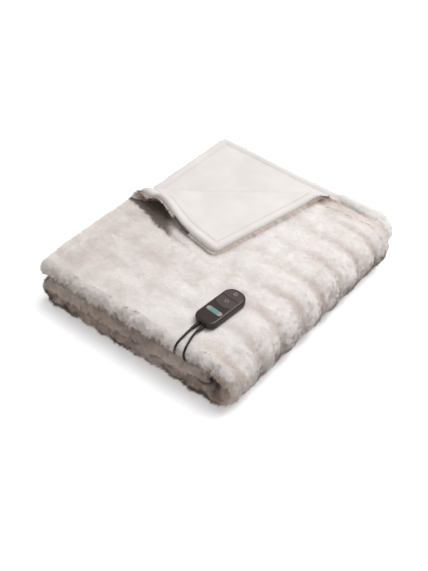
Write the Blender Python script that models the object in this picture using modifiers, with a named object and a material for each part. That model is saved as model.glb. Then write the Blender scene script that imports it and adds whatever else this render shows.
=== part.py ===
"""Electric heated throw, folded for the shelf, with its handset lying on it.

The cloth is one sheet: long ruched pile on one face, short plush on the other. It is folded in
half along its length, pile outwards, then in thirds, and one corner of the top layer is turned
back. Every point of the sheet is worked out flat, as a distance along it (s), a distance across
it (t) and a height from its middle (w), and then carried through the folds.

World frame in metres: +Y is the long side of the folded throw, +Z is up, and the origin is on
the floor under its middle. The handset's cords leave over the -Y side.
"""
import math

import bmesh
import bpy
import numpy as np
from mathutils import Matrix, Vector
from mathutils.geometry import delaunay_2d_cdt

# ---------------------------------------------------------------- driving dimensions (metres)
# The cloth, laid flat
LENGTH = 1.62  # s, folded in thirds
WIDTH = 1.30  # t, folded in half
THICK = 0.0165  # backing with its pile pressed as it lies
HEM_ROUND = 0.009  # how far from the edge the hem rounds over
BEAD_WIDE, BEAD_HIGH = 0.020, 0.003  # the rolled hem, where it shows on the plush face
GROOVE_WIDE, GROOVE_DEEP = 0.006, 0.002  # its line of sewing

# The ruched pile: rounded ribs along s, puckered along their length
RIB_PITCH, RIB_DEEP, RIB_UP = 0.076, 0.0055, 0.62
PUCKER_PITCH, PUCKER_HIGH = 0.052, 0.0018

# The folds
LAYER_STEP = 0.018  # middle to middle of the two layers folded together
LOWER_PAST_UPPER = 0.047  # how far the under layer reaches past the upper one
LEFT_X, RIGHT_X = -0.283, 0.283  # where the package ends
FRONT_Y = -0.3223  # centre of the fold in half
INNER_WRAP = 0.0184  # radius of the small wrap, at the middle of its two layers
CORD_GAP = 0.0072  # left for the cords between the top third and the middle one
SKEW = 0.025  # how much the front runs askew
TOP_BACK = 0.007  # how far the top third's front stands back
NOSE_BACK, NOSE_WIDE = 0.008, 0.085  # how far its free front corner is drawn in, and over what width
UNDER_OUT, UNDER_BACK = 0.010, 0.010  # how far the bared corner of the under layer reaches out
REAR_IN, REAR_LONG = 0.018, 0.090  # how far the full-height fold draws in at its rear end

# The corner turned back: the fold line is this far from the corner, square to this direction
CORNER_FOLD = 0.249
CORNER_TURN = math.radians(39.3)
CORNER_ROLL = 0.0092  # radius of the turn where it lies down
CORNER_LIFT = 0.016  # how much higher its open end stands
LIFT_NEAR, LIFT_FAR = 0.05, 0.20
CLOSED_LIFT = 0.010  # and its other end
ARCH_HIGH, ARCH_BACK, ARCH_P, ARCH_Q, ARCH_WIDE = 0.016, 0.012, 0.075, 0.060, 0.060  # its open hem's bow

# How far the under layer's free strip sinks: top, bottom and middle third
SAG_TOP, SAG_BOTTOM, SAG_MIDDLE = 0.001, 0.018, 0.018

# The under layer's rear strip is turned up behind the top third: how far, and over what stretch
RIM_UP, RIM_IN = 0.014, 0.011
RIM_FROM, RIM_FULL = 0.365, 0.415
RIM_SLOT = 0.012  # how much wider the slot before it is beside the turned corner
UPPER_IN = 0.014  # how far the upper layer's rear edge is drawn forward before that strip

# The handset, lying on the top near the front
HANDSET_X, HANDSET_Y = 0.1395, -0.1950
HANDSET_TURN = math.radians(-3.9)
HANDSET_LONG, HANDSET_WIDE = 0.123, 0.057
NEAR_ROUND, FAR_ROUND = 0.018, 0.024  # its corners, at the cords' end and at the far end
BASE_LEVELS = ((0.0, 0.006), (0.0010, 0.0035), (0.0035, 0.0008), (0.0090, 0.0))  # height, inset
COVER_LEVELS = ((0.0093, 0.0), (0.0148, 0.0), (0.0176, 0.0010), (0.0192, 0.0028), (0.0199, 0.0055))
PRESSED = 0.0012  # how far it and the cords press the pile down
GAP = 0.0003
KEY_GAP = 0.0004
KEY_FLOOR, KEY_FOOT, KEY_TOP = 0.0148, 0.0160, 0.0203
KEY_HALF, KEY_BOW = 0.0232, 0.0065
KEY_NEAR, KEY_PART, KEY_FAR = 0.0045, 0.0290, 0.0562  # places along the handset
WINDOW_AT, WINDOW_LONG, WINDOW_WIDE = -0.0215, 0.042, 0.0125
WINDOW_FLOOR, WINDOW_FOOT, WINDOW_TOP = 0.0176, 0.0179, 0.0196

# The cords. Each route is a list of places chosen by hand, from the handset outwards
CORD = 0.005
CORD_POINT = 0.0125  # a point of the tube every two and a half diameters
RELIEF_LONG, RELIEF_WIDE, RELIEF_TIP = 0.022, 0.0090, 0.0062
RELIEF_SIDE, RELIEF_HIGH = 0.0070, 0.0070
IN_GAP = 0.0749  # height of a cord between the top third and the middle one
BLANKET_ROUTE = (
    (0.1268, -0.2788, 0.1191),
    (0.1268, -0.2900, 0.1187),
    (0.1272, -0.3030, 0.1174),
    (0.1275, -0.3133, 0.1166),
    (0.1276, -0.3237, 0.1138),
    (0.1274, -0.3314, 0.1062),
    (0.1271, -0.3342, 0.0958),
    (0.1268, -0.3314, 0.0853),
    (0.1264, -0.3237, 0.0777),
    (0.1260, -0.3133, IN_GAP),
    (0.1245, -0.2980, IN_GAP),
    (0.1200, -0.2700, IN_GAP),
    (0.1120, -0.2350, IN_GAP),
    (0.1020, -0.1950, IN_GAP),
    (0.0940, -0.1500, IN_GAP),
    (0.0900, -0.1000, IN_GAP),
    (0.0900, -0.0500, IN_GAP),
    (0.0920, 0.0000, IN_GAP),
    (0.0920, 0.0400, IN_GAP),
    (0.0920, 0.0700, IN_GAP),
)
MAINS_ROUTE = (
    (0.1408, -0.2798, 0.1191),
    (0.1420, -0.2910, 0.1187),
    (0.1450, -0.3035, 0.1174),
    (0.1478, -0.3133, 0.1166),
    (0.1500, -0.3237, 0.1138),
    (0.1515, -0.3314, 0.1062),
    (0.1525, -0.3342, 0.0958),
    (0.1535, -0.3314, 0.0853),
    (0.1545, -0.3237, 0.0777),
    (0.1555, -0.3133, IN_GAP),
    (0.1580, -0.2960, IN_GAP),
    (0.1640, -0.2600, IN_GAP),
    (0.1700, -0.2100, IN_GAP),
    (0.1740, -0.1500, IN_GAP),
    (0.1750, -0.0900, IN_GAP),
    (0.1730, -0.0300, IN_GAP),
    (0.1690, 0.0300, IN_GAP),
    (0.1630, 0.0900, IN_GAP),
    (0.1550, 0.1500, IN_GAP),
    (0.1460, 0.2050, IN_GAP),
    (0.1380, 0.2500, IN_GAP),
    (0.1330, 0.2740, 0.0745),
    (0.1295, 0.2880, 0.0730),
    (0.1262, 0.3010, 0.0697),
    (0.1230, 0.3130, 0.0642),
    (0.1195, 0.3240, 0.0567),
    (0.1158, 0.3330, 0.0478),
    (0.1122, 0.3398, 0.0395),
    (0.1085, 0.3445, 0.0305),
    (0.1045, 0.3474, 0.0215),
    (0.0985, 0.3484, 0.0130),
    (0.0900, 0.3488, 0.0066),
    (0.0790, 0.3489, 0.0034),
    (0.0660, 0.3488, 0.0027),
    (0.0530, 0.3486, 0.0027),
    (0.0371, 0.3483, 0.0027),
)
TAIL_ROUTE = (
    (0.0023, 0.3483, 0.0045),
    (-0.0040, 0.3489, 0.0046),
    (-0.0110, 0.3514, 0.0052),
    (-0.0180, 0.3552, 0.0060),
    (-0.0250, 0.3584, 0.0068),
    (-0.0300, 0.3602, 0.0070),
    (-0.0360, 0.3605, 0.0070),
)
GLAND_LONG, GLAND_WIDE, GLAND_HIGH = 0.022, 0.014, 0.0058
COIL_X, COIL_Y, COIL_FOOT = 0.020, 0.3770, 0.0021
COIL_MIDDLE = 0.026  # radius at the middle of the turns
COIL_WIDE, COIL_HIGH = 0.0106, 0.0159
TIE_WIDE, TIE_THICK, TIE_GAP = 0.008, 0.0011, 0.0008
PLUG_X, PLUG_Y = -0.0775, 0.3605
PLUG_LONG, PLUG_WIDE, PLUG_HIGH = 0.036, 0.035, 0.0140
PIN_LONG, PIN_WIDE, PIN_STEP = 0.019, 0.004, 0.019

# The blank woven label, sewn under the open side of the turned corner
LABEL_FROM, LABEL_TO = 0.092, 0.148  # places along the hem, from the corner's tip
LABEL_WIDE, LABEL_THICK, LABEL_UP, LABEL_OFF = 0.0100, 0.0010, 0.0040, 0.0004

CORNER_SOFT = 0.016  # radius of the cloth's own corners

# ---------------------------------------------------------------- worked out from them
HALF = THICK / 2
STEP = LAYER_STEP / 2
PAIR = STEP + HALF  # from a pair's middle to its outer face
TURN_T = math.pi * STEP  # length used up by the fold in half
UPPER = (WIDTH - TURN_T - LOWER_PAST_UPPER) / 2
T1, T2 = UPPER, UPPER + TURN_T
BACK_UPPER = FRONT_Y + UPPER
BACK_LOWER = BACK_UPPER + LOWER_PAST_UPPER

Z_BOTTOM = PAIR
Z_MIDDLE = Z_BOTTOM + 2 * INNER_WRAP
Z_TOP = Z_MIDDLE + 2 * PAIR + CORD_GAP
OUTER_WRAP = (Z_TOP - Z_BOTTOM) / 2
WRAP_X = RIGHT_X - OUTER_WRAP - PAIR
INNER_X = LEFT_X - 0.002 + INNER_WRAP + PAIR
S1 = WRAP_X - LEFT_X
S2 = S1 + math.pi * OUTER_WRAP
S3 = S2 + WRAP_X - INNER_X
S4 = S3 + math.pi * INNER_WRAP

ACROSS = Vector((math.sin(CORNER_TURN), -math.cos(CORNER_TURN)))  # from the corner inwards
ALONG = Vector((ACROSS.y, -ACROSS.x)) * -1  # along the fold, away from the open end
CORNER_LONG = CORNER_FOLD * (math.tan(CORNER_TURN) + 1 / math.tan(CORNER_TURN))  # of its fold line
TOP_OF_CLOTH = Z_TOP + PAIR


# ---------------------------------------------------------------- small helpers
def smooth(value, low, high):
    """0 below low, 1 above high, and an easy curve between."""
    x = np.clip((value - low) / (high - low), 0.0, 1.0)
    return x * x * (3 - 2 * x)


def spaced(start, stop, step):
    """Even places from start to stop, about a step apart."""
    return np.linspace(start, stop, max(1, round((stop - start) / step)) + 1)


def material(name, colour, roughness, metallic=0.0):
    made = bpy.data.materials.new(name)
    made.use_nodes = True
    shader = made.node_tree.nodes["Principled BSDF"]
    shader.inputs["Base Color"].default_value = (*colour, 1.0)
    shader.inputs["Roughness"].default_value = roughness
    shader.inputs["Metallic"].default_value = metallic
    return made


def add_object(name, data, finish, collection):
    made = bpy.data.objects.new(name, data)
    made.data.materials.append(finish)
    collection.objects.link(made)
    return made


def add_mesh(name, points, faces, finish, collection):
    mesh = bpy.data.meshes.new(name)
    mesh.from_pydata([tuple(map(float, p)) for p in points], [], [list(map(int, f)) for f in faces])
    form = bmesh.new()
    form.from_mesh(mesh)
    bmesh.ops.recalc_face_normals(form, faces=form.faces)
    form.to_mesh(mesh)
    form.free()
    return add_object(name, mesh, finish, collection)


# ---------------------------------------------------------------- the folds
def fold_in_half(t, w):
    """Distance across the sheet to (y, height above the pair's middle)."""
    turn = np.clip((t - T1) / STEP, 0.0, math.pi)
    reach = STEP + w
    upper, lower = np.minimum(t, T1), np.maximum(t - T2, 0.0)
    y = FRONT_Y + (T1 - upper) + lower - reach * np.sin(turn)
    return y, reach * np.cos(turn)


def fold_in_thirds(s, v):
    """Distance along the sheet and height above the pair's middle to (x, z)."""
    outer = np.clip((s - S1) / OUTER_WRAP, 0.0, math.pi)
    inner = np.clip((s - S3) / INNER_WRAP, 0.0, math.pi)
    x = LEFT_X + np.minimum(s, S1) - np.clip(s - S2, 0, S3 - S2) + np.maximum(s - S4, 0)
    x = x + (OUTER_WRAP + v) * np.sin(outer) - (INNER_WRAP + v) * np.sin(inner)
    level = np.where(s < S2, (Z_TOP + Z_BOTTOM) / 2, (Z_BOTTOM + Z_MIDDLE) / 2)
    z = np.where(
        s < S2, level + (OUTER_WRAP + v) * np.cos(outer), level - (INNER_WRAP + v) * np.cos(inner)
    )
    return x, z


def sag(s, y):
    """How far the under layer's free strip sinks, as a change of height above the pair's middle."""
    outer = smooth(s, S1 + 0.02, S2 - 0.01)
    inner = smooth(s, S3 - 0.06, S3 + 0.004)
    middle = smooth(s, S4 + 0.002, S4 + 0.07)
    amount = -SAG_TOP + (SAG_TOP + SAG_BOTTOM) * outer - SAG_BOTTOM * inner - SAG_MIDDLE * middle
    return amount * smooth(y, BACK_UPPER - 0.008, BACK_LOWER - 0.004)


def drawn_in(s, x, y):
    """How far the upper layer is drawn forward at its rear edge, right of the turned corner."""
    wrapped = smooth(s, S1 + 0.03, S2 - 0.01)
    return UPPER_IN * smooth(x, -0.06, 0.11) * (1 - wrapped) * smooth(y, BACK_UPPER - 0.16, BACK_UPPER)


def rim(s, y):
    """1 where the under layer's rear strip is turned up behind the top third."""
    along = smooth(s, RIM_FROM, RIM_FULL) * (1 - smooth(s, S1 + 0.02, S1 + 0.075))
    foot = BACK_UPPER + 0.003 - UPPER_IN + RIM_SLOT * (1 - smooth(s, 0.43, 0.50))
    return along * smooth(y, foot, BACK_UPPER + 0.028)


def corner_place(x, y):
    """(q, p): how far past the corner's fold line, and how far along it from the open end."""
    dx, dy = x - LEFT_X, y - BACK_UPPER
    q = CORNER_FOLD - (dx * ACROSS.x + dy * ACROSS.y)
    p = dx * ALONG.x + dy * ALONG.y + CORNER_FOLD * math.tan(CORNER_TURN)
    return q, p


def closed_lift(p):
    """How much higher the fold's closed end stands, at the back edge."""
    return CLOSED_LIFT * smooth(p, CORNER_LONG - 0.12, CORNER_LONG)


def corner_roll(p):
    lift = CORNER_LIFT * (1 - smooth(np.abs(p), LIFT_NEAR, LIFT_FAR)) + closed_lift(p)
    return CORNER_ROLL + 0.5 * lift


def corner_start(p):
    """How far before the fold line the cloth starts to roll: a wider roll starts sooner."""
    return 0.5 * math.pi * (corner_roll(p) - CORNER_ROLL)


def turn_corner(x, y, w):
    """The upper layer's corner, rolled over its fold line and laid back on the top."""
    q, p = corner_place(x, y)
    radius, start = corner_roll(p), corner_start(p)
    gone = q + start
    angle = np.clip(gone / radius, 0.0, math.pi)
    rest = np.maximum(gone - math.pi * radius, 0.0)
    lift = CORNER_LIFT * (1 - smooth(np.hypot(p, rest), LIFT_NEAR, LIFT_FAR))
    lift = lift + closed_lift(p) * (1 - smooth(rest, 0.0, 0.10))
    arch = np.exp(-((p - ARCH_P) ** 2 + (rest - ARCH_Q) ** 2) / ARCH_WIDE**2) * smooth(rest, 0, 0.05)
    lift = np.where(rest > 0, lift + ARCH_HIGH * arch, 2 * (radius - CORNER_ROLL))
    rise = np.where(rest > 0, 2 * CORNER_ROLL + lift, radius * (1 - np.cos(angle)))
    reach = radius * np.sin(angle) - rest - start + ARCH_BACK * arch
    shift = np.where(gone > 0, reach - q - w * np.sin(angle), 0.0)
    z = Z_TOP + STEP + np.where(gone > 0, rise + w * np.cos(angle), w)
    return x - shift * ACROSS.x, y - shift * ACROSS.y, z


def settle(x, y, z):
    """The whole package lies a little askew, and its top third stands back at the front."""
    front = (BACK_LOWER - y) / (BACK_LOWER - FRONT_Y)
    top = smooth(z, Z_MIDDLE + PAIR, Z_TOP - PAIR)
    left = 1 - smooth(x, LEFT_X, LEFT_X + 0.2)
    nose = 1 - smooth(y, FRONT_Y - PAIR, FRONT_Y + NOSE_WIDE)
    rear = smooth(y, BACK_LOWER - REAR_LONG, BACK_LOWER) * smooth(x, WRAP_X - 0.06, RIGHT_X)
    x = x + NOSE_BACK * top * left * nose - REAR_IN * rear
    return x, y + front * (SKEW * x + TOP_BACK * z / TOP_OF_CLOTH), np.maximum(z, 0.0)


def soft_corner(s, t):
    """The flat sheet with its four corners rounded."""
    u, v = s - LENGTH / 2, t - WIDTH / 2
    a = np.clip((np.abs(u) - LENGTH / 2) / CORNER_SOFT + 1, 0, 1)
    b = np.clip((np.abs(v) - WIDTH / 2) / CORNER_SOFT + 1, 0, 1)
    pull_a, pull_b = a * (1 - np.sqrt(1 - b * b / 2)), b * (1 - np.sqrt(1 - a * a / 2))
    return s - np.sign(u) * pull_a * CORNER_SOFT, t - np.sign(v) * pull_b * CORNER_SOFT


def folded(s, t, w):
    """A point of the sheet in its folded place."""
    s, t = soft_corner(s, t)
    y, v = fold_in_half(t, w)
    turned_up = np.where(t > T2, rim(s, y), 0.0)
    v = v + np.where(t > T2, sag(s, y), 0.0) + RIM_UP * turned_up
    x, z = fold_in_thirds(s, v)
    near_corner = 1 - smooth(s, 0.0, 0.3)
    x = x - UNDER_OUT * smooth(t, T2 + 0.2, T2 + 0.45) * near_corner
    y = y + UNDER_BACK * smooth(t, T2 + 0.2, WIDTH) * near_corner - RIM_IN * turned_up
    upper = (s < S1) & (t < T1)
    tx, ty, tz = turn_corner(x, y, w)
    x, y, z = np.where(upper, tx, x), np.where(upper, ty, y), np.where(upper, tz, z)
    y = y - np.where(t < T1, drawn_in(s, x, y), 0.0)
    return np.stack(settle(x, y, z), -1)


# ---------------------------------------------------------------- the sheet's two faces
def edge_distance(s, t):
    return np.minimum(np.minimum(s, LENGTH - s), np.minimum(t, WIDTH - t))


def rounding(edge):
    return np.sqrt(1 - (1 - np.clip(edge / HEM_ROUND, 0, 1)) ** 2)


def plan(s, t):
    """Where a point of the top third lies in plan before the corner is turned."""
    return LEFT_X + s, np.where(t < T1, BACK_UPPER - t, FRONT_Y + (t - T2))


def under_corner(s, t):
    """1 where the turned corner lies on the upper layer, 0 well clear of it."""
    x, y = plan(s, t)
    q, _ = corner_place(x, y)
    mirrored_x, mirrored_y = x + 2 * q * ACROSS.x, y + 2 * q * ACROSS.y
    inside = np.minimum(mirrored_x - LEFT_X, BACK_UPPER - mirrored_y)
    return smooth(inside, -0.014, -0.002) * (s < S1) * (t < T1)


def pressed(s, t):
    """1 where the handset or a cord presses the pile down."""
    x, y = plan(s, t)
    dx, dy = x - HANDSET_X, y - HANDSET_Y
    cos, sin = math.cos(HANDSET_TURN), math.sin(HANDSET_TURN)
    across, along = np.abs(dx * cos + dy * sin), np.abs(dy * cos - dx * sin)
    outside = np.maximum(across - HANDSET_WIDE / 2, along - HANDSET_LONG / 2)
    patch = 1 - smooth(outside, 0.002, 0.016)
    middle = (BLANKET_ROUTE[0][0] + MAINS_ROUTE[9][0]) / 2
    leads = (1 - smooth(np.abs(x - middle), 0.021, 0.034)) * (1 - smooth(y, -0.25, -0.23))
    return np.maximum(patch, leads) * (s < S1)


def relief(s, t):
    """How far the ruched pile stands from its mean, with the pressed places flat."""
    turn = np.clip((t - T1) / STEP, 0.0, math.pi)
    wrap = np.clip((s - S1) / OUTER_WRAP, 0.0, math.pi)
    small = np.clip((s - S3) / INNER_WRAP, 0.0, math.pi)
    drift = 0.006 * np.sin(s * 17.0) + 0.003 * np.sin(s * 41.0 + 1.0)
    place = (np.minimum(t, T1) + drift) / RIB_PITCH + 0.12
    rib = (np.sin(math.pi * place) ** 2 + 0.015) ** 0.4
    near_fold = 0.40 + 0.50 * smooth(s, S1 - 0.20, S1 + 0.03)
    phase = 2.4 * np.floor(place) + 0.8 * np.sin(s * 9.0)
    pucker = np.sin(2 * math.pi * s / PUCKER_PITCH + phase)
    shape = near_fold * RIB_DEEP * (rib - RIB_UP) + PUCKER_HIGH * pucker * rib
    scallop = 0.0024 * np.sin(2 * math.pi * s / PUCKER_PITCH + 0.9 * np.sin(s * 13.0))
    front = np.sin(turn) ** 2
    upper = np.where(t < T1, 1.0, np.where(turn < math.pi / 2, 1.0, 0.0))
    full = np.where(s < S1, 1.0, np.where(s < S2, 1 - smooth(wrap, 1.7, 2.9), 0.0))
    bulge = np.where((s > S3) & (s < S4), np.sin(small) ** 2, 0.0)
    mask = np.maximum(full, bulge) * upper
    shape = shape * mask * (1 - front) + scallop * front
    shape = shape * smooth(edge_distance(s, t), 0.004, 0.03)
    shape = np.where(t > T2, 0.0, shape)
    flat = under_corner(s, t)
    q, _ = corner_place(*plan(s, t))
    flat = np.maximum(flat, smooth(q, -0.012, 0.0) * (s < S1) * (t < T1))
    hold = pressed(s, t)
    return shape * (1 - flat) * (1 - hold) - PRESSED * hold


def hem_shape(s, t):
    """The rolled hem and its sewing on the plush face, where that face shows."""
    x, y = plan(s, t)
    q, _ = corner_place(x, y)
    upper = smooth(q, 0.012, 0.04) * (t < T1)
    lower = np.maximum(smooth(q, 0.012, 0.04), smooth(y, BACK_UPPER + 0.01, BACK_UPPER + 0.03))
    shows = np.where(t < T1, upper, lower * (t > T2)) * (s < S1 + 0.02)
    edge = edge_distance(s, t)
    bead = BEAD_HIGH * np.clip(1 - ((edge - BEAD_WIDE / 2) / (BEAD_WIDE / 2)) ** 2, 0, 1)
    at = BEAD_WIDE + GROOVE_WIDE / 2
    groove = GROOVE_DEEP * np.clip(1 - np.abs(edge - at) / (GROOVE_WIDE / 2), 0, 1)
    return shows * (bead - groove)


def pile_height(s, t):
    return HALF * rounding(edge_distance(s, t)) + relief(s, t)


def plush_height(s, t):
    return -(HALF * rounding(edge_distance(s, t)) + hem_shape(s, t))


# ---------------------------------------------------------------- laying out the sheet's points
def fold_lines(count, step, depths):
    """The fan of lines along which the corner rolls over, as chains of (s, t) across the sheet.

    Each has a place at every depth in from both of the edges that it crosses.
    """
    p = np.linspace(-0.1, 0.6, 1401)
    chains = []
    for part in np.linspace(0, 1, count):
        q = CORNER_FOLD - part * math.pi * corner_roll(p) + corner_start(p)
        along = p - CORNER_FOLD * math.tan(CORNER_TURN)
        s = q * ACROSS.x + along * ALONG.x
        t = -(q * ACROSS.y + along * ALONG.y)
        from_left = np.interp(depths, s, p)
        from_back = np.interp(depths, t[::-1], p[::-1])[::-1]
        places = np.concatenate([from_left, spaced(from_left[-1], from_back[0], step)[1:-1], from_back])
        chain = [(float(np.interp(v, p, s)), float(np.interp(v, p, t))) for v in places]
        chain[0], chain[-1] = (0.0, chain[0][1]), (chain[-1][0], 0.0)
        chains.append(chain)
    return chains


def columns(top, bottom, middle, outer=10, inner=7):
    """Places along s: a spacing for each third, and the wraps in even steps."""
    return np.unique(
        np.round(
            np.concatenate(
                [
                    spaced(0, S1, top),
                    np.linspace(S1, S2, outer + 1),
                    spaced(S2, S3, bottom),
                    np.linspace(S3, S4, inner + 1),
                    spaced(S4, LENGTH, middle),
                ]
            ),
            6,
        )
    )


def block(columns_s, s_from, s_to, rows_t):
    """Grid points for the columns inside a stretch of s."""
    kept = columns_s[(columns_s >= s_from - 1e-6) & (columns_s <= s_to + 1e-6)]
    return [(s, t) for s in kept for t in rows_t]


def lay_points(fine, rows):
    """The points of one face. rows names the step across the sheet in each region."""
    front = np.linspace(T1, T2, rows["front"] + 1)
    coarse_s = columns(rows["hidden"], rows["hidden"], rows["hidden"])
    points = []
    for s_from, s_to, upper, lower in (
        (0, S1, rows["top"], rows["hidden"]),
        (S1, S2, rows["wrap"], rows["hidden"]),
        (S2, S3, rows["hidden"], rows["hidden"]),
        (S3, S4, rows["bulge"], rows["hidden"]),
        (S4, LENGTH, rows["hidden"], rows["hidden"]),
    ):
        dense = fine if upper < 0.03 else coarse_s
        points += block(dense, s_from, s_to, spaced(0, T1, upper)[1:-1])
        points += block(fine, s_from, s_to, front)
        points += block(coarse_s, s_from, s_to, spaced(T2, WIDTH, lower)[1:-1])
    return points


def edge_rows(border, depths, shows):
    """Points along the sheet's edge at each depth, so that the hem rounds over."""
    rows = []
    for s, t in border:
        for depth in depths:
            if shows is None or shows(s, t):
                rows.append((min(max(s, depth), LENGTH - depth), min(max(t, depth), WIDTH - depth)))
    return rows


def border_points(fine_s, fine_t, chains):
    """The sheet's outline as an ordered ring, shared by both faces."""
    on_edge = [end for chain in chains for end in (chain[0], chain[-1])]
    bottom = sorted({*(round(s, 6) for s in fine_s), *(round(s, 6) for s, t in on_edge if t == 0)})
    left = sorted({*(round(t, 6) for t in fine_t), *(round(t, 6) for s, t in on_edge if s == 0)})
    bottom, left = thinned(bottom, on_edge, 0), thinned(left, on_edge, 1)
    right = [t for t in np.round(fine_t[::2], 6)]
    if right[-1] != round(WIDTH, 6):
        right.append(round(WIDTH, 6))
    ring = [(s, 0.0) for s in bottom]
    ring += [(LENGTH, t) for t in right[1:]]
    ring += [(float(s), WIDTH) for s in np.round(fine_s, 6)[::-1][1:]]
    ring += [(0.0, t) for t in left[::-1][1:-1]]
    return ring


def thinned(values, on_edge, axis):
    """Leaves out an even place that crowds one of the fold lines' ends."""
    fixed = {round(end[axis], 6) for end in on_edge if end[1 - axis] == 0}
    return [v for v in values if v in fixed or all(abs(v - f) > 0.004 for f in fixed)]


def triangulated(ring, chains, points):
    """The flat sheet's triangles through the ring, the fold lines and the free points."""
    known = [Vector(place) for place in ring]
    edges = [(i, (i + 1) % len(ring)) for i in range(len(ring))]
    for chain in chains:
        first = len(known)
        known += [Vector(place) for place in chain]
        edges += [(first + i, first + i + 1) for i in range(len(chain) - 1)]
    known += [Vector(place) for place in points]
    made = delaunay_2d_cdt(known, edges, [], 1, 1e-5)
    return np.array([tuple(v) for v in made[0]]), np.array([tuple(f) for f in made[2]])


def clear_of_roll(points, margin):
    """Leaves out the free points in the band where the corner rolls over."""
    kept = []
    for s, t in points:
        if s < S1 and t < T1:
            q, p = corner_place(LEFT_X + s, BACK_UPPER - t)
            rolled = q + float(corner_start(p))
            if -margin < rolled < math.pi * float(corner_roll(p)) + margin:
                continue
        kept.append((s, t))
    return kept


def without_fine_under_corner(points, step):
    """Thins the points that the turned corner hides."""
    kept = []
    for i, (s, t) in enumerate(points):
        hidden = False
        if s < S1 and t < T1:
            x, y = LEFT_X + s, BACK_UPPER - t
            q, _ = corner_place(x, y)
            inside = min(x + 2 * q * ACROSS.x - LEFT_X, BACK_UPPER - y - 2 * q * ACROSS.y)
            hidden = (q < -0.02 and inside > 0.02) or (q > 0.05 and min(s, t) > 0.03)
        if not hidden or (round(s / step) + round(t / step)) % 3 == 0:
            kept.append((s, t))
    return kept


def edge_places():
    """Places of the outline's points across the upper layer."""
    return spaced(0, T1, 0.025)


def blanket(collection, finish):
    fine = columns(0.0215, 0.026, 0.026)
    fine_t = np.concatenate([edge_places(), np.linspace(T1, T2, 6)[1:], spaced(T2, WIDTH, 0.04)[1:]])
    chains = fold_lines(7, 0.05, (0.0, 0.0024, 0.0085, 0.0150, 0.0200, 0.0265))
    ring = border_points(fine, fine_t, chains)

    pile = lay_points(fine, dict(top=0.0127, wrap=0.0127, bulge=0.025, hidden=0.06, front=6))
    pile = without_fine_under_corner(clear_of_roll(pile, 0.006), 0.0215)
    pile = [(s, t) for s, t in pile if edge_distance(s, t) > 0.0125]
    pile += clear_of_roll(edge_rows(ring, (0.0024, 0.0085), None), 0.002)

    plush = lay_points(fine, dict(top=0.05, wrap=0.05, bulge=0.05, hidden=0.06, front=2))
    plush = clear_of_roll(plush, 0.006)
    plush = [(s, t) for s, t in plush if edge_distance(s, t) > 0.034]

    def top_third(s, t):
        return s < S1 and (t < 0.33 or t > T2)

    def on_rim(s, t):
        return RIM_FROM - 0.02 < s < S1 + 0.08 and t == WIDTH

    plush += clear_of_roll(edge_rows(ring, (0.0024, 0.0085), None), 0.002)
    plush += clear_of_roll(edge_rows(ring, (0.0150, 0.0200, 0.0230, 0.0265), top_third), 0.002)
    plush += edge_rows(ring, (0.0320, 0.0380, 0.0450, 0.0520, 0.0590), on_rim)
    pile += edge_rows(ring, (0.0150, 0.0200, 0.0265, 0.0330, 0.0400, 0.0480, 0.0560), on_rim)

    points, faces, shared = [], [], {}
    for places, height in ((pile, pile_height), (plush, plush_height)):
        flat, triangles = triangulated(ring, chains, places)
        s, t = flat[:, 0].astype(float), flat[:, 1].astype(float)
        world = folded(s, t, height(s, t))
        number = []
        for i in range(len(flat)):
            key = (round(s[i], 4), round(t[i], 4)) if edge_distance(s[i], t[i]) < 1e-4 else None
            if key in shared and key is not None:
                number.append(shared[key])
                continue
            if key is not None:
                shared[key] = len(points)
            number.append(len(points))
            points.append(world[i])
        faces += [[number[i] for i in face] for face in triangles]
    return add_mesh("blanket", points, faces, finish, collection)


# ---------------------------------------------------------------- the label
def label(collection, finish):
    """A blank strip that stands under the edge of the turned corner."""
    corners = edge_places()
    hem = folded(np.zeros_like(corners), corners, np.zeros_like(corners))
    inner = [t for t in corners if LABEL_FROM + 0.004 < t < LABEL_TO - 0.004]
    points, faces = [], []
    for place in (LABEL_FROM, *inner, LABEL_TO):
        middle, before, after = (
            np.array([np.interp(place + step, corners, hem[:, k]) for k in range(3)])
            for step in (0.0, -0.004, 0.004)
        )
        run = after - before
        outward = np.array([-run[1], run[0], 0.0]) / np.hypot(run[0], run[1])
        foot = LABEL_UP - LABEL_WIDE
        for out, height in ((0, LABEL_UP), (1, LABEL_UP), (1, foot), (0, foot)):
            away = outward * (LABEL_OFF + out * LABEL_THICK)
            points.append(middle + away + np.array([0.0, 0.0, height]))
    for i in range(0, len(points) - 4, 4):
        faces += [(i + k, i + (k + 1) % 4, i + 4 + (k + 1) % 4, i + 4 + k) for k in range(4)]
    last = len(points) - 4
    faces += [(3, 2, 1, 0), (last, last + 1, last + 2, last + 3)]
    return add_mesh("blank_label", points, faces, finish, collection)


# ---------------------------------------------------------------- the handset
def rounded_outline(long, wide, near_round, far_round, inset=0.0, steps=7):
    """A rounded rectangle along Y, with its own radius at each end."""
    half_x, half_y = wide / 2 - inset, long / 2 - inset
    outline = []
    for sign_x, sign_y, start in ((1, -1, -90), (1, 1, 0), (-1, 1, 90), (-1, -1, 180)):
        radius = max((near_round if sign_y < 0 else far_round) - inset, 0.0005)
        for i in range(steps):
            angle = math.radians(start + 90 * i / (steps - 1))
            x = sign_x * (half_x - radius) + radius * math.cos(angle)
            y = sign_y * (half_y - radius) + radius * math.sin(angle)
            outline.append((x, y))
    return outline


def stacked(name, levels, outline_at, finish, collection):
    """A closed body through one outline at each level."""
    points, faces, count = [], [], 0
    for z, inset in levels:
        ring = outline_at(inset)
        count = len(ring)
        points += [(x, y, z) for x, y in ring]
    for level in range(len(levels) - 1):
        first = level * count
        for i in range(count):
            j = (i + 1) % count
            faces.append((first + i, first + j, first + count + j, first + count + i))
    faces += [tuple(range(count))[::-1], tuple(range(len(points) - count, len(points)))]
    return add_mesh(name, points, faces, finish, collection)


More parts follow.
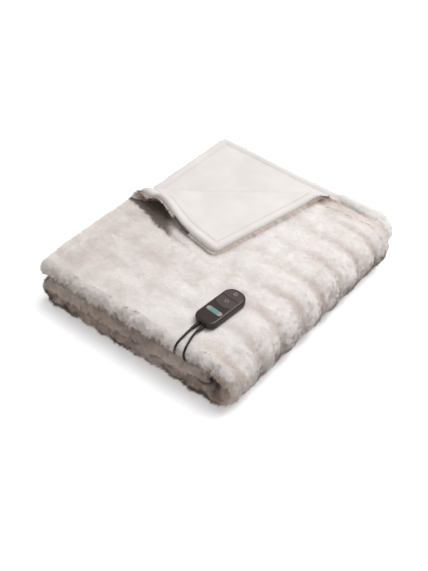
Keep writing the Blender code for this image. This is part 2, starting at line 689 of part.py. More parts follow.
def on_handset(made, shift=(0.0, 0.0, 0.0)):
    """Puts a piece drawn about the handset's own middle in its place."""
    made.rotation_euler = (0.0, 0.0, HANDSET_TURN)
    turned = Matrix.Rotation(HANDSET_TURN, 3, "Z") @ Vector(shift)
    made.location = Vector((HANDSET_X, HANDSET_Y, TOP_OF_CLOTH - PRESSED + GAP)) + turned
    return made


def case_outline(inset):
    return rounded_outline(HANDSET_LONG, HANDSET_WIDE, NEAR_ROUND, FAR_ROUND, inset)


def key_outline(start, stop, grow):
    """The key panel between two places: its near edge bows, its far end follows the case."""
    half = KEY_HALF + grow
    outline = []
    if start == KEY_NEAR:
        for part in np.linspace(-1, 1, 13):
            outline.append((half * part, start - grow - KEY_BOW * (1 - part * part)))
    else:
        outline += [(-half, start - grow), (half, start - grow)]
    if stop == KEY_FAR:
        radius = FAR_ROUND - 0.006 + grow
        for turn in np.linspace(0, math.pi, 17):
            side = 1 if turn <= math.pi / 2 else -1
            x = side * (half - radius) + radius * math.cos(turn)
            outline.append((x, stop + grow - radius + radius * math.sin(turn)))
    else:
        outline += [(half, stop + grow), (-half, stop + grow)]
    return outline


def pill_outline(grow):
    """The display window, a pill across the handset."""
    radius = WINDOW_WIDE / 2 + grow
    reach = WINDOW_LONG / 2 - WINDOW_WIDE / 2
    outline = []
    for side, start in ((1, -90), (-1, 90)):
        for i in range(9):
            angle = math.radians(start + 180 * i / 8)
            outline.append((side * reach + radius * math.cos(angle), WINDOW_AT + radius * math.sin(angle)))
    return outline


def prism(name, outline, low, high, finish, collection):
    return stacked(name, ((low, 0.0), (high, 0.0)), lambda _: outline, finish, collection)


def soften(made, width, segments=2):
    bevel = made.modifiers.new("soft_edges", "BEVEL")
    bevel.width, bevel.segments, bevel.limit_method = width, segments, "ANGLE"
    bevel.angle_limit = math.radians(40)


def cut(made, cutter):
    """Takes the cutter's shape out of the body, and leaves the cutter as a guide."""
    boolean = made.modifiers.new("cut_" + cutter.name, "BOOLEAN")
    boolean.operation, boolean.solver, boolean.object = "DIFFERENCE", "EXACT", cutter
    cutter.hide_render, cutter.display_type = True, "WIRE"


def handset(collection, cutters):
    case = material("case_plastic", (0.030, 0.022, 0.020), 0.35)
    rubber = material("key_rubber", (0.050, 0.043, 0.042), 0.60)
    glass = material("display_window", (0.10, 0.34, 0.30), 0.15)
    on_handset(stacked("handset_base", BASE_LEVELS, case_outline, case, collection))
    cover = on_handset(stacked("handset_cover", COVER_LEVELS, case_outline, case, collection))
    pocket = prism("key_pocket", key_outline(KEY_NEAR, KEY_FAR, KEY_GAP), KEY_FLOOR, 0.03, case, cutters)
    recess = prism("window_recess", pill_outline(GAP), WINDOW_FLOOR, 0.03, case, cutters)
    for cutter in (pocket, recess):
        cut(cover, on_handset(cutter))
    window = prism("display_window", pill_outline(0.0), WINDOW_FOOT, WINDOW_TOP, glass, collection)
    soften(on_handset(window), 0.0004)
    for name, start, stop in (
        ("key_near", KEY_NEAR, KEY_PART - KEY_GAP),
        ("key_far", KEY_PART + KEY_GAP, KEY_FAR),
    ):
        middle = (start + stop) / 2
        outline = [(x, y - middle) for x, y in key_outline(start, stop, 0.0)]
        key = prism(name, outline, KEY_FOOT, KEY_TOP, rubber, collection)
        soften(on_handset(key, (0.0, middle, 0.0)), 0.0008)


# ---------------------------------------------------------------- the cords and what is on them
def smooth_route(places, step):
    """Points a step apart on a smooth curve through the route's own places."""
    route = np.array(places)
    chord = np.concatenate([[0], np.cumsum(np.linalg.norm(np.diff(route, axis=0), axis=1) ** 0.5)])
    slope = np.gradient(route, chord, axis=0)
    curve = []
    for i in range(len(route) - 1):
        span = chord[i + 1] - chord[i]
        for u in np.linspace(0, 1, 40, endpoint=False):
            curve.append(
                route[i] * (1 + 2 * u) * (1 - u) ** 2
                + route[i + 1] * u * u * (3 - 2 * u)
                + span * (slope[i] * u * (1 - u) ** 2 - slope[i + 1] * u * u * (1 - u))
            )
    curve = np.array(curve + [route[-1]])
    run = np.concatenate([[0], np.cumsum(np.linalg.norm(np.diff(curve, axis=0), axis=1))])
    even = spaced(0, run[-1], step)
    return np.stack([np.interp(even, run, curve[:, k]) for k in range(3)], -1)


def tube(name, places, finish, collection):
    curve = bpy.data.curves.new(name, "CURVE")
    curve.dimensions, curve.bevel_depth, curve.bevel_resolution = "3D", CORD / 2, 3
    curve.use_fill_caps = True
    points = smooth_route(places, CORD_POINT)
    spline = curve.splines.new("POLY")
    spline.points.add(len(points) - 1)
    for point, place in zip(spline.points, points):
        point.co = (*place, 1.0)
    return add_object(name, curve, finish, collection)


def taper(name, start, towards, long, wide, tip, finish, collection):
    """A tapered relief from a housing to the cord."""
    mesh = bpy.data.meshes.new(name)
    form = bmesh.new()
    direction = Vector(towards).normalized()
    frame = direction.to_track_quat("Z", "Y").to_matrix().to_4x4()
    frame.translation = Vector(start) + direction * long / 2
    bmesh.ops.create_cone(
        form, cap_ends=True, segments=20, radius1=wide / 2, radius2=tip / 2, depth=long, matrix=frame
    )
    form.to_mesh(mesh)
    form.free()
    return add_object(name, mesh, finish, collection)


def handset_leads(collection, black):
    turn = Matrix.Rotation(HANDSET_TURN, 3, "Z")
    foot = Vector((HANDSET_X, HANDSET_Y, TOP_OF_CLOTH - PRESSED + GAP))
    for name, side in (("relief_blanket", -RELIEF_SIDE), ("relief_mains", RELIEF_SIDE)):
        start = foot + turn @ Vector((side, -HANDSET_LONG / 2 - GAP, RELIEF_HIGH))
        away = turn @ Vector((0.0, -1.0, 0.0))
        taper(name, start, away, RELIEF_LONG, RELIEF_WIDE, RELIEF_TIP, black, collection)
    tube("lead_blanket", BLANKET_ROUTE, black, collection)
    tube("lead_mains", MAINS_ROUTE, black, collection)
    x, y, z = BLANKET_ROUTE[-1]

    def outline(inset):
        return rounded_outline(GLAND_LONG, GLAND_WIDE, 0.004, 0.004, inset, 4)

    levels = ((-GLAND_HIGH / 2, 0.001), (-0.0019, 0.0), (0.0019, 0.0), (GLAND_HIGH / 2, 0.001))
    gland = stacked("lead_gland", levels, outline, black, collection)
    gland.location = (x, y + GAP + GLAND_LONG / 2, z - 0.0004)


def coil_and_plug(collection, black, metal):
    """The spare length of the mains lead as one ring, its tie, and the plug beside it."""
    middle = COIL_FOOT + COIL_HIGH / 2
    section = rounded_outline(COIL_HIGH, COIL_WIDE, 0.0025, 0.0025, 0.0, 3)
    steps = 40
    points, faces = [], []
    for i in range(steps):
        angle = 2 * math.pi * i / steps
        for out, up in section:
            reach = COIL_MIDDLE + out
            points.append((COIL_X + reach * math.cos(angle), COIL_Y + reach * math.sin(angle), middle + up))
        for k in range(len(section)):
            a, b = i * len(section), (i + 1) % steps * len(section)
            m = (k + 1) % len(section)
            faces.append((a + k, a + m, b + m, b + k))
    add_mesh("mains_coil", points, faces, black, collection)
    tie(middle, collection)
    tube("lead_tail", TAIL_ROUTE, black, collection)
    end_x, end_y, end_z = TAIL_ROUTE[-1]
    start = (end_x - 2 * GAP - RELIEF_LONG, end_y, end_z)
    taper("relief_plug", start, (1, 0, 0), RELIEF_LONG, RELIEF_WIDE, RELIEF_TIP, black, collection)

    def outline(inset):
        return rounded_outline(PLUG_LONG, PLUG_WIDE, 0.012, 0.006, inset, 5)

    levels = ((0.0002, 0.003), (0.003, 0.0), (0.011, 0.0), (PLUG_HIGH, 0.003))
    body = stacked("plug_body", levels, outline, black, collection)
    body.rotation_euler = (0, 0, math.radians(90))
    body.location = (PLUG_X, PLUG_Y, 0.0)
    for name, side in (("plug_pin_a", -PIN_STEP / 2), ("plug_pin_b", PIN_STEP / 2)):
        start = (PLUG_X - PLUG_LONG / 2 - GAP, PLUG_Y + side, PLUG_HIGH / 2)
        taper(name, start, (-1, 0, 0), PIN_LONG, PIN_WIDE, PIN_WIDE * 0.9, metal, collection)


def tie(middle, collection):
    """A strap round the coil's turns, on the side away from the plug."""
    cloth = material("tie_strap", (0.03, 0.03, 0.03), 0.8)
    inner = rounded_outline(COIL_HIGH + 2 * TIE_GAP, COIL_WIDE + 2 * TIE_GAP, 0.0026, 0.0026, 0.0, 4)
    grown = 2 * (TIE_GAP + TIE_THICK)
    outer = rounded_outline(COIL_HIGH + grown, COIL_WIDE + grown, 0.0036, 0.0036, 0.0, 4)
    count, points = len(inner), []
    for along in (-TIE_WIDE / 2, TIE_WIDE / 2):
        for ring in (outer, inner):
            points += [(COIL_MIDDLE + x, along, middle + z) for x, z in ring]
    faces = []
    for i in range(count):
        j = (i + 1) % count
        for a, b in ((0, 1), (1, 3), (3, 2), (2, 0)):
            faces.append((a * count + i, a * count + j, b * count + j, b * count + i))
    strap = add_mesh("coil_tie", points, faces, cloth, collection)
    strap.location = (COIL_X, COIL_Y, 0.0)


# ---------------------------------------------------------------- build
def main():
    for old in list(bpy.data.objects):
        bpy.data.objects.remove(old, do_unlink=True)
    collection = bpy.data.collections.new("heated_throw")
    cutters = bpy.data.collections.new("cutters")
    cutters.hide_render = True
    for made in (collection, cutters):
        bpy.context.scene.collection.children.link(made)
    black = material("lead_sheath", (0.012, 0.010, 0.011), 0.45)
    blanket(collection, material("pile_fabric", (0.74, 0.69, 0.66), 0.95))
    label(collection, material("label_tape", (0.06, 0.05, 0.048), 0.8))
    handset(collection, cutters)
    handset_leads(collection, black)
    coil_and_plug(collection, black, material("pin_metal", (0.75, 0.72, 0.66), 0.3, 1.0))


main()
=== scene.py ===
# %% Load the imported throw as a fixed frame
import math

import bpy
import numpy as np
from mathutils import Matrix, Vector


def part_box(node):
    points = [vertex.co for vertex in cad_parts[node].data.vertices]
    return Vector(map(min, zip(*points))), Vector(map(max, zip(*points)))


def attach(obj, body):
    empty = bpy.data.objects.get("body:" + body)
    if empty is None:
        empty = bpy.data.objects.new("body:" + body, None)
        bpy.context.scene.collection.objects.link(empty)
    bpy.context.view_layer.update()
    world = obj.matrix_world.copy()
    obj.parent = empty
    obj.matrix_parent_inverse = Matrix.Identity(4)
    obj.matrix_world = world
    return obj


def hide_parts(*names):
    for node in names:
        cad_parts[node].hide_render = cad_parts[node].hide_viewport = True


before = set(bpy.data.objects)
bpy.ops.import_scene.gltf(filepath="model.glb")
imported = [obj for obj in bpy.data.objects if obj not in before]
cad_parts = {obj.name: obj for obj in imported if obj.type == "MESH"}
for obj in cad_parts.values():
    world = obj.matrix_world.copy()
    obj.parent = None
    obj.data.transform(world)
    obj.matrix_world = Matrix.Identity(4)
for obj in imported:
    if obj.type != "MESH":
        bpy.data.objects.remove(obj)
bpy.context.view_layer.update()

# %% [markdown]
# # A folded heated throw and its handset
# One sheet of ruched faux fur is folded in half and in thirds, with a corner turned back to show
# the short plush on its other side, and a wired handset lies on it. The CAD solids give the true
# sizes. Here each visible surface gets the shape and finish that a step closer shows: tufts of
# pile, a rolled and sewn hem, moulded plastic and rubber cords.

# %% [markdown]
# ## Colours and nodes
# Colours are picked as the hex values a paint program shows, which are sRGB. Blender's shaders
# work in linear light, so one function turns them. One more adds a shader node, others use it
# for two tones of colour and a fine grain, and the last two put things into the scene.


# %% Colour and node helpers
def linear(hex_colour):
    """An sRGB hex colour as the linear RGBA that a shader takes."""
    parts = [int(hex_colour[i : i + 2], 16) / 255 for i in (1, 3, 5)]
    return (*(p / 12.92 if p <= 0.04045 else ((p + 0.055) / 1.055) ** 2.4 for p in parts), 1.0)


def add_node(tree, kind, inputs=None, **settings):
    """Adds a node: settings are its properties, inputs its values or the sockets into them."""
    made = tree.nodes.new("ShaderNode" + kind)
    for name, value in settings.items():
        setattr(made, name, value)
    for name, value in (inputs or {}).items():
        if isinstance(value, bpy.types.NodeSocket):
            tree.links.new(value, made.inputs[name])
        else:
            made.inputs[name].default_value = value
    return made


def new_material(name, colour, **sockets):
    """A material of one colour with its Principled shader: returns (material, tree, shader)."""
    made = bpy.data.materials.new(name)
    made.use_nodes = True
    shader = made.node_tree.nodes["Principled BSDF"]
    shader.inputs["Base Color"].default_value = linear(colour)
    for socket, value in sockets.items():
        shader.inputs[socket.replace("_", " ")].default_value = value
    return made, made.node_tree, shader


def two_tones(tree, factor, low, dark, high, light):
    """A ramp from one colour at low to another at high: returns its colour socket."""
    ramp = add_node(tree, "ValToRGB", {"Fac": factor})
    for element, position, colour in zip(ramp.color_ramp.elements, (low, high), (dark, light)):
        element.position, element.color = position, linear(colour)
    return ramp.outputs["Color"]


def colour_by(tree, shader, colour):
    """Lets a colour socket take the place of the shader's one colour."""
    tree.links.new(colour, shader.inputs["Base Color"])


def noise(tree, scale, detail):
    """Noise fixed to the object's own metres, so a scale of 100 has features of about 10 mm."""
    place = add_node(tree, "TexCoord")
    inputs = {"Vector": place.outputs["Object"], "Scale": scale, "Detail": detail}
    return add_node(tree, "TexNoise", inputs).outputs["Fac"]


def grain(tree, shader, height, strength, distance):
    """Tips the surface's normals by a height of up to this distance."""
    bump = add_node(tree, "Bump", {"Height": height, "Strength": strength, "Distance": distance})
    tree.links.new(bump.outputs["Normal"], shader.inputs["Normal"])


def placed(name, data, location=(0.0, 0.0, 0.0), looking=None):
    """Puts a mesh, curve, lamp or camera into the scene, turned to look along a direction."""
    made = bpy.data.objects.new(name, data)
    made.location = location
    if looking is not None:
        made.rotation_euler = Vector(looking).to_track_quat("-Z", "Y").to_euler()
    bpy.context.scene.collection.objects.link(made)
    return made


def tube(name, lines, radius, resolution, finish):
    """A round section along each line of points, with closed ends, as one curve object."""
    data = bpy.data.curves.new(name, "CURVE")
    data.dimensions, data.use_fill_caps = "3D", True
    data.bevel_depth, data.bevel_resolution = radius, resolution
    for line in lines:
        spline = data.splines.new("POLY")
        spline.points.add(len(line) - 1)
        for point, place in zip(spline.points, line):
            point.co = (*place, 1.0)
    data.materials.append(finish)
    return placed(name, data)


print("a mid grey in linear light:", round(linear("#808080")[0], 4))

# %% [markdown]
# ## Camera
# The angle and distance were found by laying the folded outline over the photograph: 43.7
# degrees down, 39.7 degrees round, and a lens of 850 pixels, which on a 36 mm sensor that spans
# 571 pixels is 53.6 mm.

# %% Camera
ELEVATION, AZIMUTH = math.radians(43.7), math.radians(39.7)
SENSOR_MM, LENS_PIXELS, FRAME_PIXELS = 36.0, 850, 571
CAMERA_PLACE = (0.9492, -1.1947, 1.4201)
level = math.cos(ELEVATION)
looking = (-math.sin(AZIMUTH) * level, math.cos(AZIMUTH) * level, -math.sin(ELEVATION))
lens = bpy.data.cameras.new("photo_camera")
lens.sensor_width, lens.lens = SENSOR_MM, LENS_PIXELS * SENSOR_MM / FRAME_PIXELS
camera = placed("photo_camera", lens, CAMERA_PLACE, looking)
bpy.context.scene.camera = camera
print(f"camera: {lens.lens:.1f} mm lens, {camera.location.length:.2f} m from the throw")

# %% [markdown]
# ## Floor and light
# The set is a white sweep lit by big soft boxes. The top and right side of the throw are bright
# and its front is in shade, so the key light stands high behind it. Light from overhead softens
# it, a box at the rear right lights the full-height fold, and a weak warm fill reaches the front.
# The paper glows a little, as it is brighter in the photograph than this light would make it.


# %% Floor and light
def soft_sun(name, from_side, angle, share, colour):
    """A light so far off that it is even: angle is how wide it looks, share how much it adds."""
    data = bpy.data.lights.new(name, "SUN")
    direction = Vector(from_side).normalized()
    data.angle, data.color = math.radians(angle), linear(colour)[:3]
    data.energy = math.pi * share / direction.z
    placed(name, data, looking=-direction)


floor_mesh = bpy.data.meshes.new("sweep")
floor_mesh.from_pydata([(-6, -6, 0), (6, -6, 0), (6, 6, 0), (-6, 6, 0)], [], [(0, 1, 2, 3)])
floor_mesh.materials.append(new_material("white_paper", "#EBEDEF", Roughness=0.9,
                                         Emission_Color=linear("#FFFFFF"),
                                         Emission_Strength=0.16)[0])
floor = placed("sweep", floor_mesh)

world = bpy.context.scene.world or bpy.data.worlds.new("studio")
bpy.context.scene.world = world
world.use_nodes = True
world.node_tree.nodes["Background"].inputs["Color"].default_value = linear("#FFF6EE")
world.node_tree.nodes["Background"].inputs["Strength"].default_value = 0.22
bpy.context.scene.view_settings.view_transform = "Standard"

soft_sun("key_light", (0.12, 0.38, 0.92), 30, 0.535, "#FBFBFE")
soft_sun("front_fill", (0.25, -0.90, 0.38), 70, 0.055, "#FFF4EC")
soft_sun("overhead_light", (0.02, 0.04, 1.00), 150, 0.495, "#FFFFFF")
box_data = bpy.data.lights.new("rear_soft_box", "AREA")
box_data.shape, box_data.size, box_data.energy = "DISK", 0.8, 7.5
placed("rear_soft_box", box_data, (0.60, 0.70, 1.20), (-0.50, -0.70, -1.15))
print("lamps:", [lamp.name for lamp in bpy.data.lights])

# %% [markdown]
# ## The cords' routes
# Two round black leads leave the handset and go over the front fold into the gap under the top
# third. The short one joins the throw there. The mains lead runs on through the gap and down
# behind the throw, where its spare length is a tied coil with the plug beside it.

# %% Cord routes
CORD = 0.005  # diameter
IN_GAP = 0.0749  # height of a cord between the top third and the middle one
BLANKET_ROUTE = (
    (0.1268, -0.2788, 0.1191), (0.1268, -0.2900, 0.1187), (0.1272, -0.3030, 0.1174),
    (0.1275, -0.3133, 0.1166), (0.1276, -0.3237, 0.1138), (0.1274, -0.3314, 0.1062),
    (0.1271, -0.3342, 0.0958), (0.1268, -0.3314, 0.0853), (0.1264, -0.3237, 0.0777),
    (0.1260, -0.3133, IN_GAP), (0.1245, -0.2980, IN_GAP), (0.1200, -0.2700, IN_GAP),
    (0.1120, -0.2350, IN_GAP), (0.1020, -0.1950, IN_GAP), (0.0940, -0.1500, IN_GAP),
    (0.0900, -0.1000, IN_GAP), (0.0900, -0.0500, IN_GAP), (0.0920, 0.0000, IN_GAP),
    (0.0920, 0.0400, IN_GAP), (0.0920, 0.0700, IN_GAP),
)
MAINS_ROUTE = (
    (0.1408, -0.2798, 0.1191), (0.1420, -0.2910, 0.1187), (0.1450, -0.3035, 0.1174),
    (0.1478, -0.3133, 0.1166), (0.1500, -0.3237, 0.1138), (0.1515, -0.3314, 0.1062),
    (0.1525, -0.3342, 0.0958), (0.1535, -0.3314, 0.0853), (0.1545, -0.3237, 0.0777),
    (0.1555, -0.3133, IN_GAP), (0.1580, -0.2960, IN_GAP), (0.1640, -0.2600, IN_GAP),
    (0.1700, -0.2100, IN_GAP), (0.1740, -0.1500, IN_GAP), (0.1750, -0.0900, IN_GAP),
    (0.1730, -0.0300, IN_GAP), (0.1690, 0.0300, IN_GAP), (0.1630, 0.0900, IN_GAP),
    (0.1550, 0.1500, IN_GAP), (0.1460, 0.2050, IN_GAP), (0.1380, 0.2500, IN_GAP),
    (0.1330, 0.2740, 0.0745), (0.1295, 0.2880, 0.0730), (0.1262, 0.3010, 0.0697),
    (0.1230, 0.3130, 0.0642), (0.1195, 0.3240, 0.0567), (0.1158, 0.3330, 0.0478),
    (0.1122, 0.3398, 0.0395), (0.1085, 0.3445, 0.0305), (0.1045, 0.3474, 0.0215),
    (0.0985, 0.3484, 0.0130), (0.0900, 0.3488, 0.0066), (0.0790, 0.3489, 0.0034),
    (0.0660, 0.3488, 0.0027), (0.0530, 0.3486, 0.0027), (0.0371, 0.3483, 0.0028),
)
TAIL_ROUTE = (
    (0.0023, 0.3483, 0.0146), (-0.0040, 0.3489, 0.0138), (-0.0110, 0.3514, 0.0122),
    (-0.0180, 0.3552, 0.0102), (-0.0250, 0.3584, 0.0084), (-0.0300, 0.3602, 0.0075),
    (-0.0360, 0.3605, 0.0070),
)
COIL_X, COIL_Y, COIL_FOOT = 0.020, 0.3770, 0.0021
TURN_STEP, START_LOWER = 0.0053, 0.0019  # between turns, and the first turn's start below them
OUTER_TURN, INNER_TURN = 0.02865, 0.02335  # radii of its two columns of turns
print("places by which the cords run:", len(BLANKET_ROUTE), len(MAINS_ROUTE), len(TAIL_ROUTE))

# %% [markdown]
# ## Cords along their routes
# The spare lead is wound in five turns, side by side and on top of each other, each stepping over
# to the next in its last part. A cord bends evenly, so smooth curves join the routes' places.


# %% Cord shapes
def smooth(value, low, high):
    """0 below low, 1 above high, and an easy curve between."""
    x = np.clip((value - low) / (high - low), 0.0, 1.0)
    return x * x * (3 - 2 * x)


def coil_turns(steps=36):
    """The coil's turns as points: up the two columns, each turn beside or on the last."""
    radii = np.array([OUTER_TURN, INNER_TURN, INNER_TURN, OUTER_TURN, OUTER_TURN, OUTER_TURN])
    rows, i = np.array([0, 0, 1, 1, 2, 2]), np.arange(5 * steps + 1)
    turn = i // steps
    after, ease = np.minimum(turn + 1, 5), smooth(i / steps - turn, 0.85, 1.0)
    radius = radii[turn] + (radii[after] - radii[turn]) * ease
    height = COIL_FOOT + TURN_STEP * (0.5 + rows[turn] + (rows[after] - rows[turn]) * ease)
    height = height - START_LOWER * np.clip(1 - 3 * i / steps, 0, 1)
    angle = -math.pi / 2 - 2 * math.pi * i / steps
    return tuple(zip(COIL_X + radius * np.cos(angle), COIL_Y + radius * np.sin(angle), height))


def smooth_route(places, step):
    """Points a step apart on a smooth curve through the route's own places."""
    route = np.array(places)
    chord = np.concatenate([[0], np.cumsum(np.linalg.norm(np.diff(route, axis=0), axis=1) ** 0.5)])
    slope = np.gradient(route, chord, axis=0)
    u = np.linspace(0, 1, 30, endpoint=False)[:, None]
    stay, go = (1 + 2 * u) * (1 - u) ** 2, u * u * (3 - 2 * u)
    leave, meet = u * (1 - u) ** 2, u * u * (1 - u)
    curve = [route[i] * stay + route[i + 1] * go
             + (chord[i + 1] - chord[i]) * (slope[i] * leave - slope[i + 1] * meet)
             for i in range(len(route) - 1)]
    curve = np.concatenate([*curve, route[-1:]])
    run = np.concatenate([[0], np.cumsum(np.linalg.norm(np.diff(curve, axis=0), axis=1))])
    even = np.linspace(0, run[-1], max(2, round(run[-1] / step)) + 1)
    return np.stack([np.interp(even, run, curve[:, k]) for k in range(3)], -1), float(run[-1])


def cord_piece(name, places, finish):
    """A round cord through points 4 mm apart: returns (object, its length)."""
    points, length = smooth_route(places, 0.004)
    return tube(name, [points], CORD / 2, 4, finish), length


print(f"coil: {smooth_route(coil_turns(), 0.004)[1]:.2f} m of cord")

# %% [markdown]
# ## Cord sheath
# The leads are round cords in a black PVC sheath, extruded, so the surface is satin with faint
# waviness along it and no grain. PVC has an IOR of about 1.53.

# %% Cord finish and the two cords
sheath, tree, shader = new_material("pvc_sheath", "#1A1211", Roughness=0.45, IOR=1.53,
                                    Specular_IOR_Level=0.2)
grain(tree, shader, noise(tree, 160.0, 1.0), 0.15, 0.0006)

blanket_cord, blanket_cord_length = cord_piece("cord_to_throw", BLANKET_ROUTE, sheath)
mains_places = MAINS_ROUTE + coil_turns() + TAIL_ROUTE
mains_cord, mains_cord_length = cord_piece("cord_to_mains", mains_places, sheath)
print(f"cords: {blanket_cord_length:.3f} m to the throw, {mains_cord_length:.3f} m to the mains")

# %% [markdown]
# ## How the sheet is folded
# The cloth is worked out flat first: s runs along it, t across it and w is the height from its
# middle. Each point is then carried to its folded place: in half along the length with the pile
# outwards, in thirds, and last the corner of the top layer is rolled over a diagonal. Every fold
# is a plain arc, so the cloth keeps its real length. All sizes are in metres.

# %% The sheet's sizes
LENGTH, WIDTH, THICK = 1.62, 1.30, 0.0165
HEM_ROUND, CORNER_SOFT = 0.009, 0.016  # rounding of the edge, and of the corners in plan
BEAD_WIDE, BEAD_HIGH = 0.020, 0.003  # the rolled hem
GROOVE_WIDE, GROOVE_DEEP = 0.006, 0.002  # its seam
RIB_PITCH, RIB_DEEP, RIB_UP = 0.076, 0.0055, 0.62
PUCKER_PITCH, PUCKER_HIGH = 0.052, 0.0010
LAYER_STEP, LOWER_PAST_UPPER = 0.018, 0.047  # between the two layers, up and to the rear
LEFT_X, RIGHT_X, FRONT_Y = -0.283, 0.283, -0.3223
INNER_WRAP, CORD_GAP = 0.0184, 0.0072  # radius of the lower fold, and room for the cords
SKEW, TOP_BACK = 0.025, 0.007  # how askew the package lies
NOSE_BACK, NOSE_WIDE = 0.008, 0.085
UNDER_OUT, UNDER_BACK = 0.010, 0.010
REAR_IN, REAR_LONG = 0.018, 0.090
CORNER_FOLD, CORNER_TURN = 0.249, math.radians(39.3)  # the fold line's distance and direction
CORNER_ROLL, CORNER_LIFT = 0.0092, 0.016
LIFT_NEAR, LIFT_FAR, CLOSED_LIFT = 0.05, 0.20, 0.010
ARCH_HIGH, ARCH_BACK, ARCH_P, ARCH_Q, ARCH_WIDE = 0.016, 0.012, 0.075, 0.060, 0.060
SAG_TOP, SAG_BOTTOM, SAG_MIDDLE = 0.001, 0.018, 0.018
RIM_UP, RIM_IN, RIM_FROM, RIM_FULL, RIM_SLOT = 0.014, 0.011, 0.365, 0.415, 0.012
UPPER_IN = 0.014
HANDSET_X, HANDSET_Y, HANDSET_TURN = 0.1395, -0.1950, math.radians(-3.9)
HANDSET_LONG, HANDSET_WIDE, PRESSED = 0.123, 0.057, 0.0012

HALF, STEP = THICK / 2, LAYER_STEP / 2
PAIR = STEP + HALF
TURN_T = math.pi * STEP
UPPER = (WIDTH - TURN_T - LOWER_PAST_UPPER) / 2
T1, T2 = UPPER, UPPER + TURN_T
BACK_UPPER = FRONT_Y + UPPER
BACK_LOWER = BACK_UPPER + LOWER_PAST_UPPER
Z_BOTTOM = PAIR
Z_MIDDLE = Z_BOTTOM + 2 * INNER_WRAP
Z_TOP = Z_MIDDLE + 2 * PAIR + CORD_GAP
OUTER_WRAP = (Z_TOP - Z_BOTTOM) / 2
WRAP_X = RIGHT_X - OUTER_WRAP - PAIR
INNER_X = LEFT_X - 0.002 + INNER_WRAP + PAIR
S1 = WRAP_X - LEFT_X
S2 = S1 + math.pi * OUTER_WRAP
S3 = S2 + WRAP_X - INNER_X
S4 = S3 + math.pi * INNER_WRAP
ACROSS = Vector((math.sin(CORNER_TURN), -math.cos(CORNER_TURN)))
ALONG = Vector((ACROSS.y, -ACROSS.x)) * -1
CORNER_LONG = CORNER_FOLD * (math.tan(CORNER_TURN) + 1 / math.tan(CORNER_TURN))
TOP_OF_CLOTH = Z_TOP + PAIR
print(f"folded: {WIDTH} m across to {UPPER:.3f} m, {LENGTH} m along to {S1:.3f} m and a wrap")

# %% [markdown]
# ## Folds in half and in thirds
# The sheet is laid over itself just short of its far edge, then its ends are turned in. Each
# fold is a half circle of the sheet's middle. A face lies inside or outside of it by its height
# w, so the outside stretches and the inside gathers as cloth does.


# %% Fold in half and in thirds
def turn_at(t):
    """The angle through which the fold in half has turned the sheet, 0 to pi."""
    return np.clip((t - T1) / STEP, 0.0, math.pi)


def fold_in_half(t, w):
    """How far back a place lies, and how high from the middle of the two layers."""
    turn, reach = turn_at(t), STEP + w
    y = FRONT_Y + (T1 - np.minimum(t, T1)) + np.maximum(t - T2, 0.0) - reach * np.sin(turn)
    return y, reach * np.cos(turn)


def fold_in_thirds(s, v):
    """How far right and how high a place lies, v being its height from the layers' middle."""
    outer = np.clip((s - S1) / OUTER_WRAP, 0.0, math.pi)
    inner = np.clip((s - S3) / INNER_WRAP, 0.0, math.pi)
    x = LEFT_X + np.minimum(s, S1) - np.clip(s - S2, 0, S3 - S2) + np.maximum(s - S4, 0)
    x = x + (OUTER_WRAP + v) * np.sin(outer) - (INNER_WRAP + v) * np.sin(inner)
    level = np.where(s < S2, (Z_TOP + Z_BOTTOM) / 2, (Z_BOTTOM + Z_MIDDLE) / 2)
    over, under = (OUTER_WRAP + v) * np.cos(outer), (INNER_WRAP + v) * np.cos(inner)
    return x, level + np.where(s < S2, over, -under)


print(f"cloth in the folds: {TURN_T:.3f} m in half, {S2 - S1:.3f} and {S4 - S3:.3f} m in thirds")

# %% [markdown]
# ## The rear edges
# The under layer's free strip sinks where nothing carries it. Behind the top third it is turned
# up against the upper layer's edge, which is drawn forward there, as in the photograph.


# %% Rear edges
def sag(s, y):
    """How far the under layer's free strip sinks at the rear."""
    outer, inner = smooth(s, S1 + 0.02, S2 - 0.01), smooth(s, S3 - 0.06, S3 + 0.004)
    middle = smooth(s, S4 + 0.002, S4 + 0.07)
    amount = (SAG_TOP + SAG_BOTTOM) * outer - SAG_BOTTOM * inner - SAG_MIDDLE * middle - SAG_TOP
    return amount * smooth(y, BACK_UPPER - 0.008, BACK_LOWER - 0.004)


def drawn_in(s, x, y):
    """How far the upper layer is drawn forward at its rear edge, right of the turned corner."""
    wrapped = smooth(s, S1 + 0.03, S2 - 0.01)
    near = smooth(x, -0.06, 0.11) * smooth(y, BACK_UPPER - 0.16, BACK_UPPER)
    return UPPER_IN * near * (1 - wrapped)


def rim(s, y):
    """1 where the under layer's rear strip is turned up behind the top third."""
    along = smooth(s, RIM_FROM, RIM_FULL) * (1 - smooth(s, S1 + 0.02, S1 + 0.075))
    foot = BACK_UPPER + 0.003 - UPPER_IN + RIM_SLOT * (1 - smooth(s, 0.43, 0.50))
    return along * smooth(y, foot, BACK_UPPER + 0.028)


print(f"rear strip turned up over s = {RIM_FROM} to {S1 + 0.075:.3f} m")

# %% [markdown]
# ## The turned corner
# The upper layer's rear left corner is laid back over a diagonal, which bares the plush on both
# layers. It rolls round the fold line with a radius that opens towards its free end, where the
# cloth stands up in a low arch.


# %% Turned corner
def corner_place(x, y):
    """How far past the corner's fold line, and how far along it from the open end."""
    dx, dy = x - LEFT_X, y - BACK_UPPER
    q = CORNER_FOLD - (dx * ACROSS.x + dy * ACROSS.y)
    return q, dx * ALONG.x + dy * ALONG.y + CORNER_FOLD * math.tan(CORNER_TURN)


def closed_lift(p):
    """How much the roll stands up at its closed end, where it meets the rear edge."""
    return CLOSED_LIFT * smooth(p, CORNER_LONG - 0.12, CORNER_LONG)


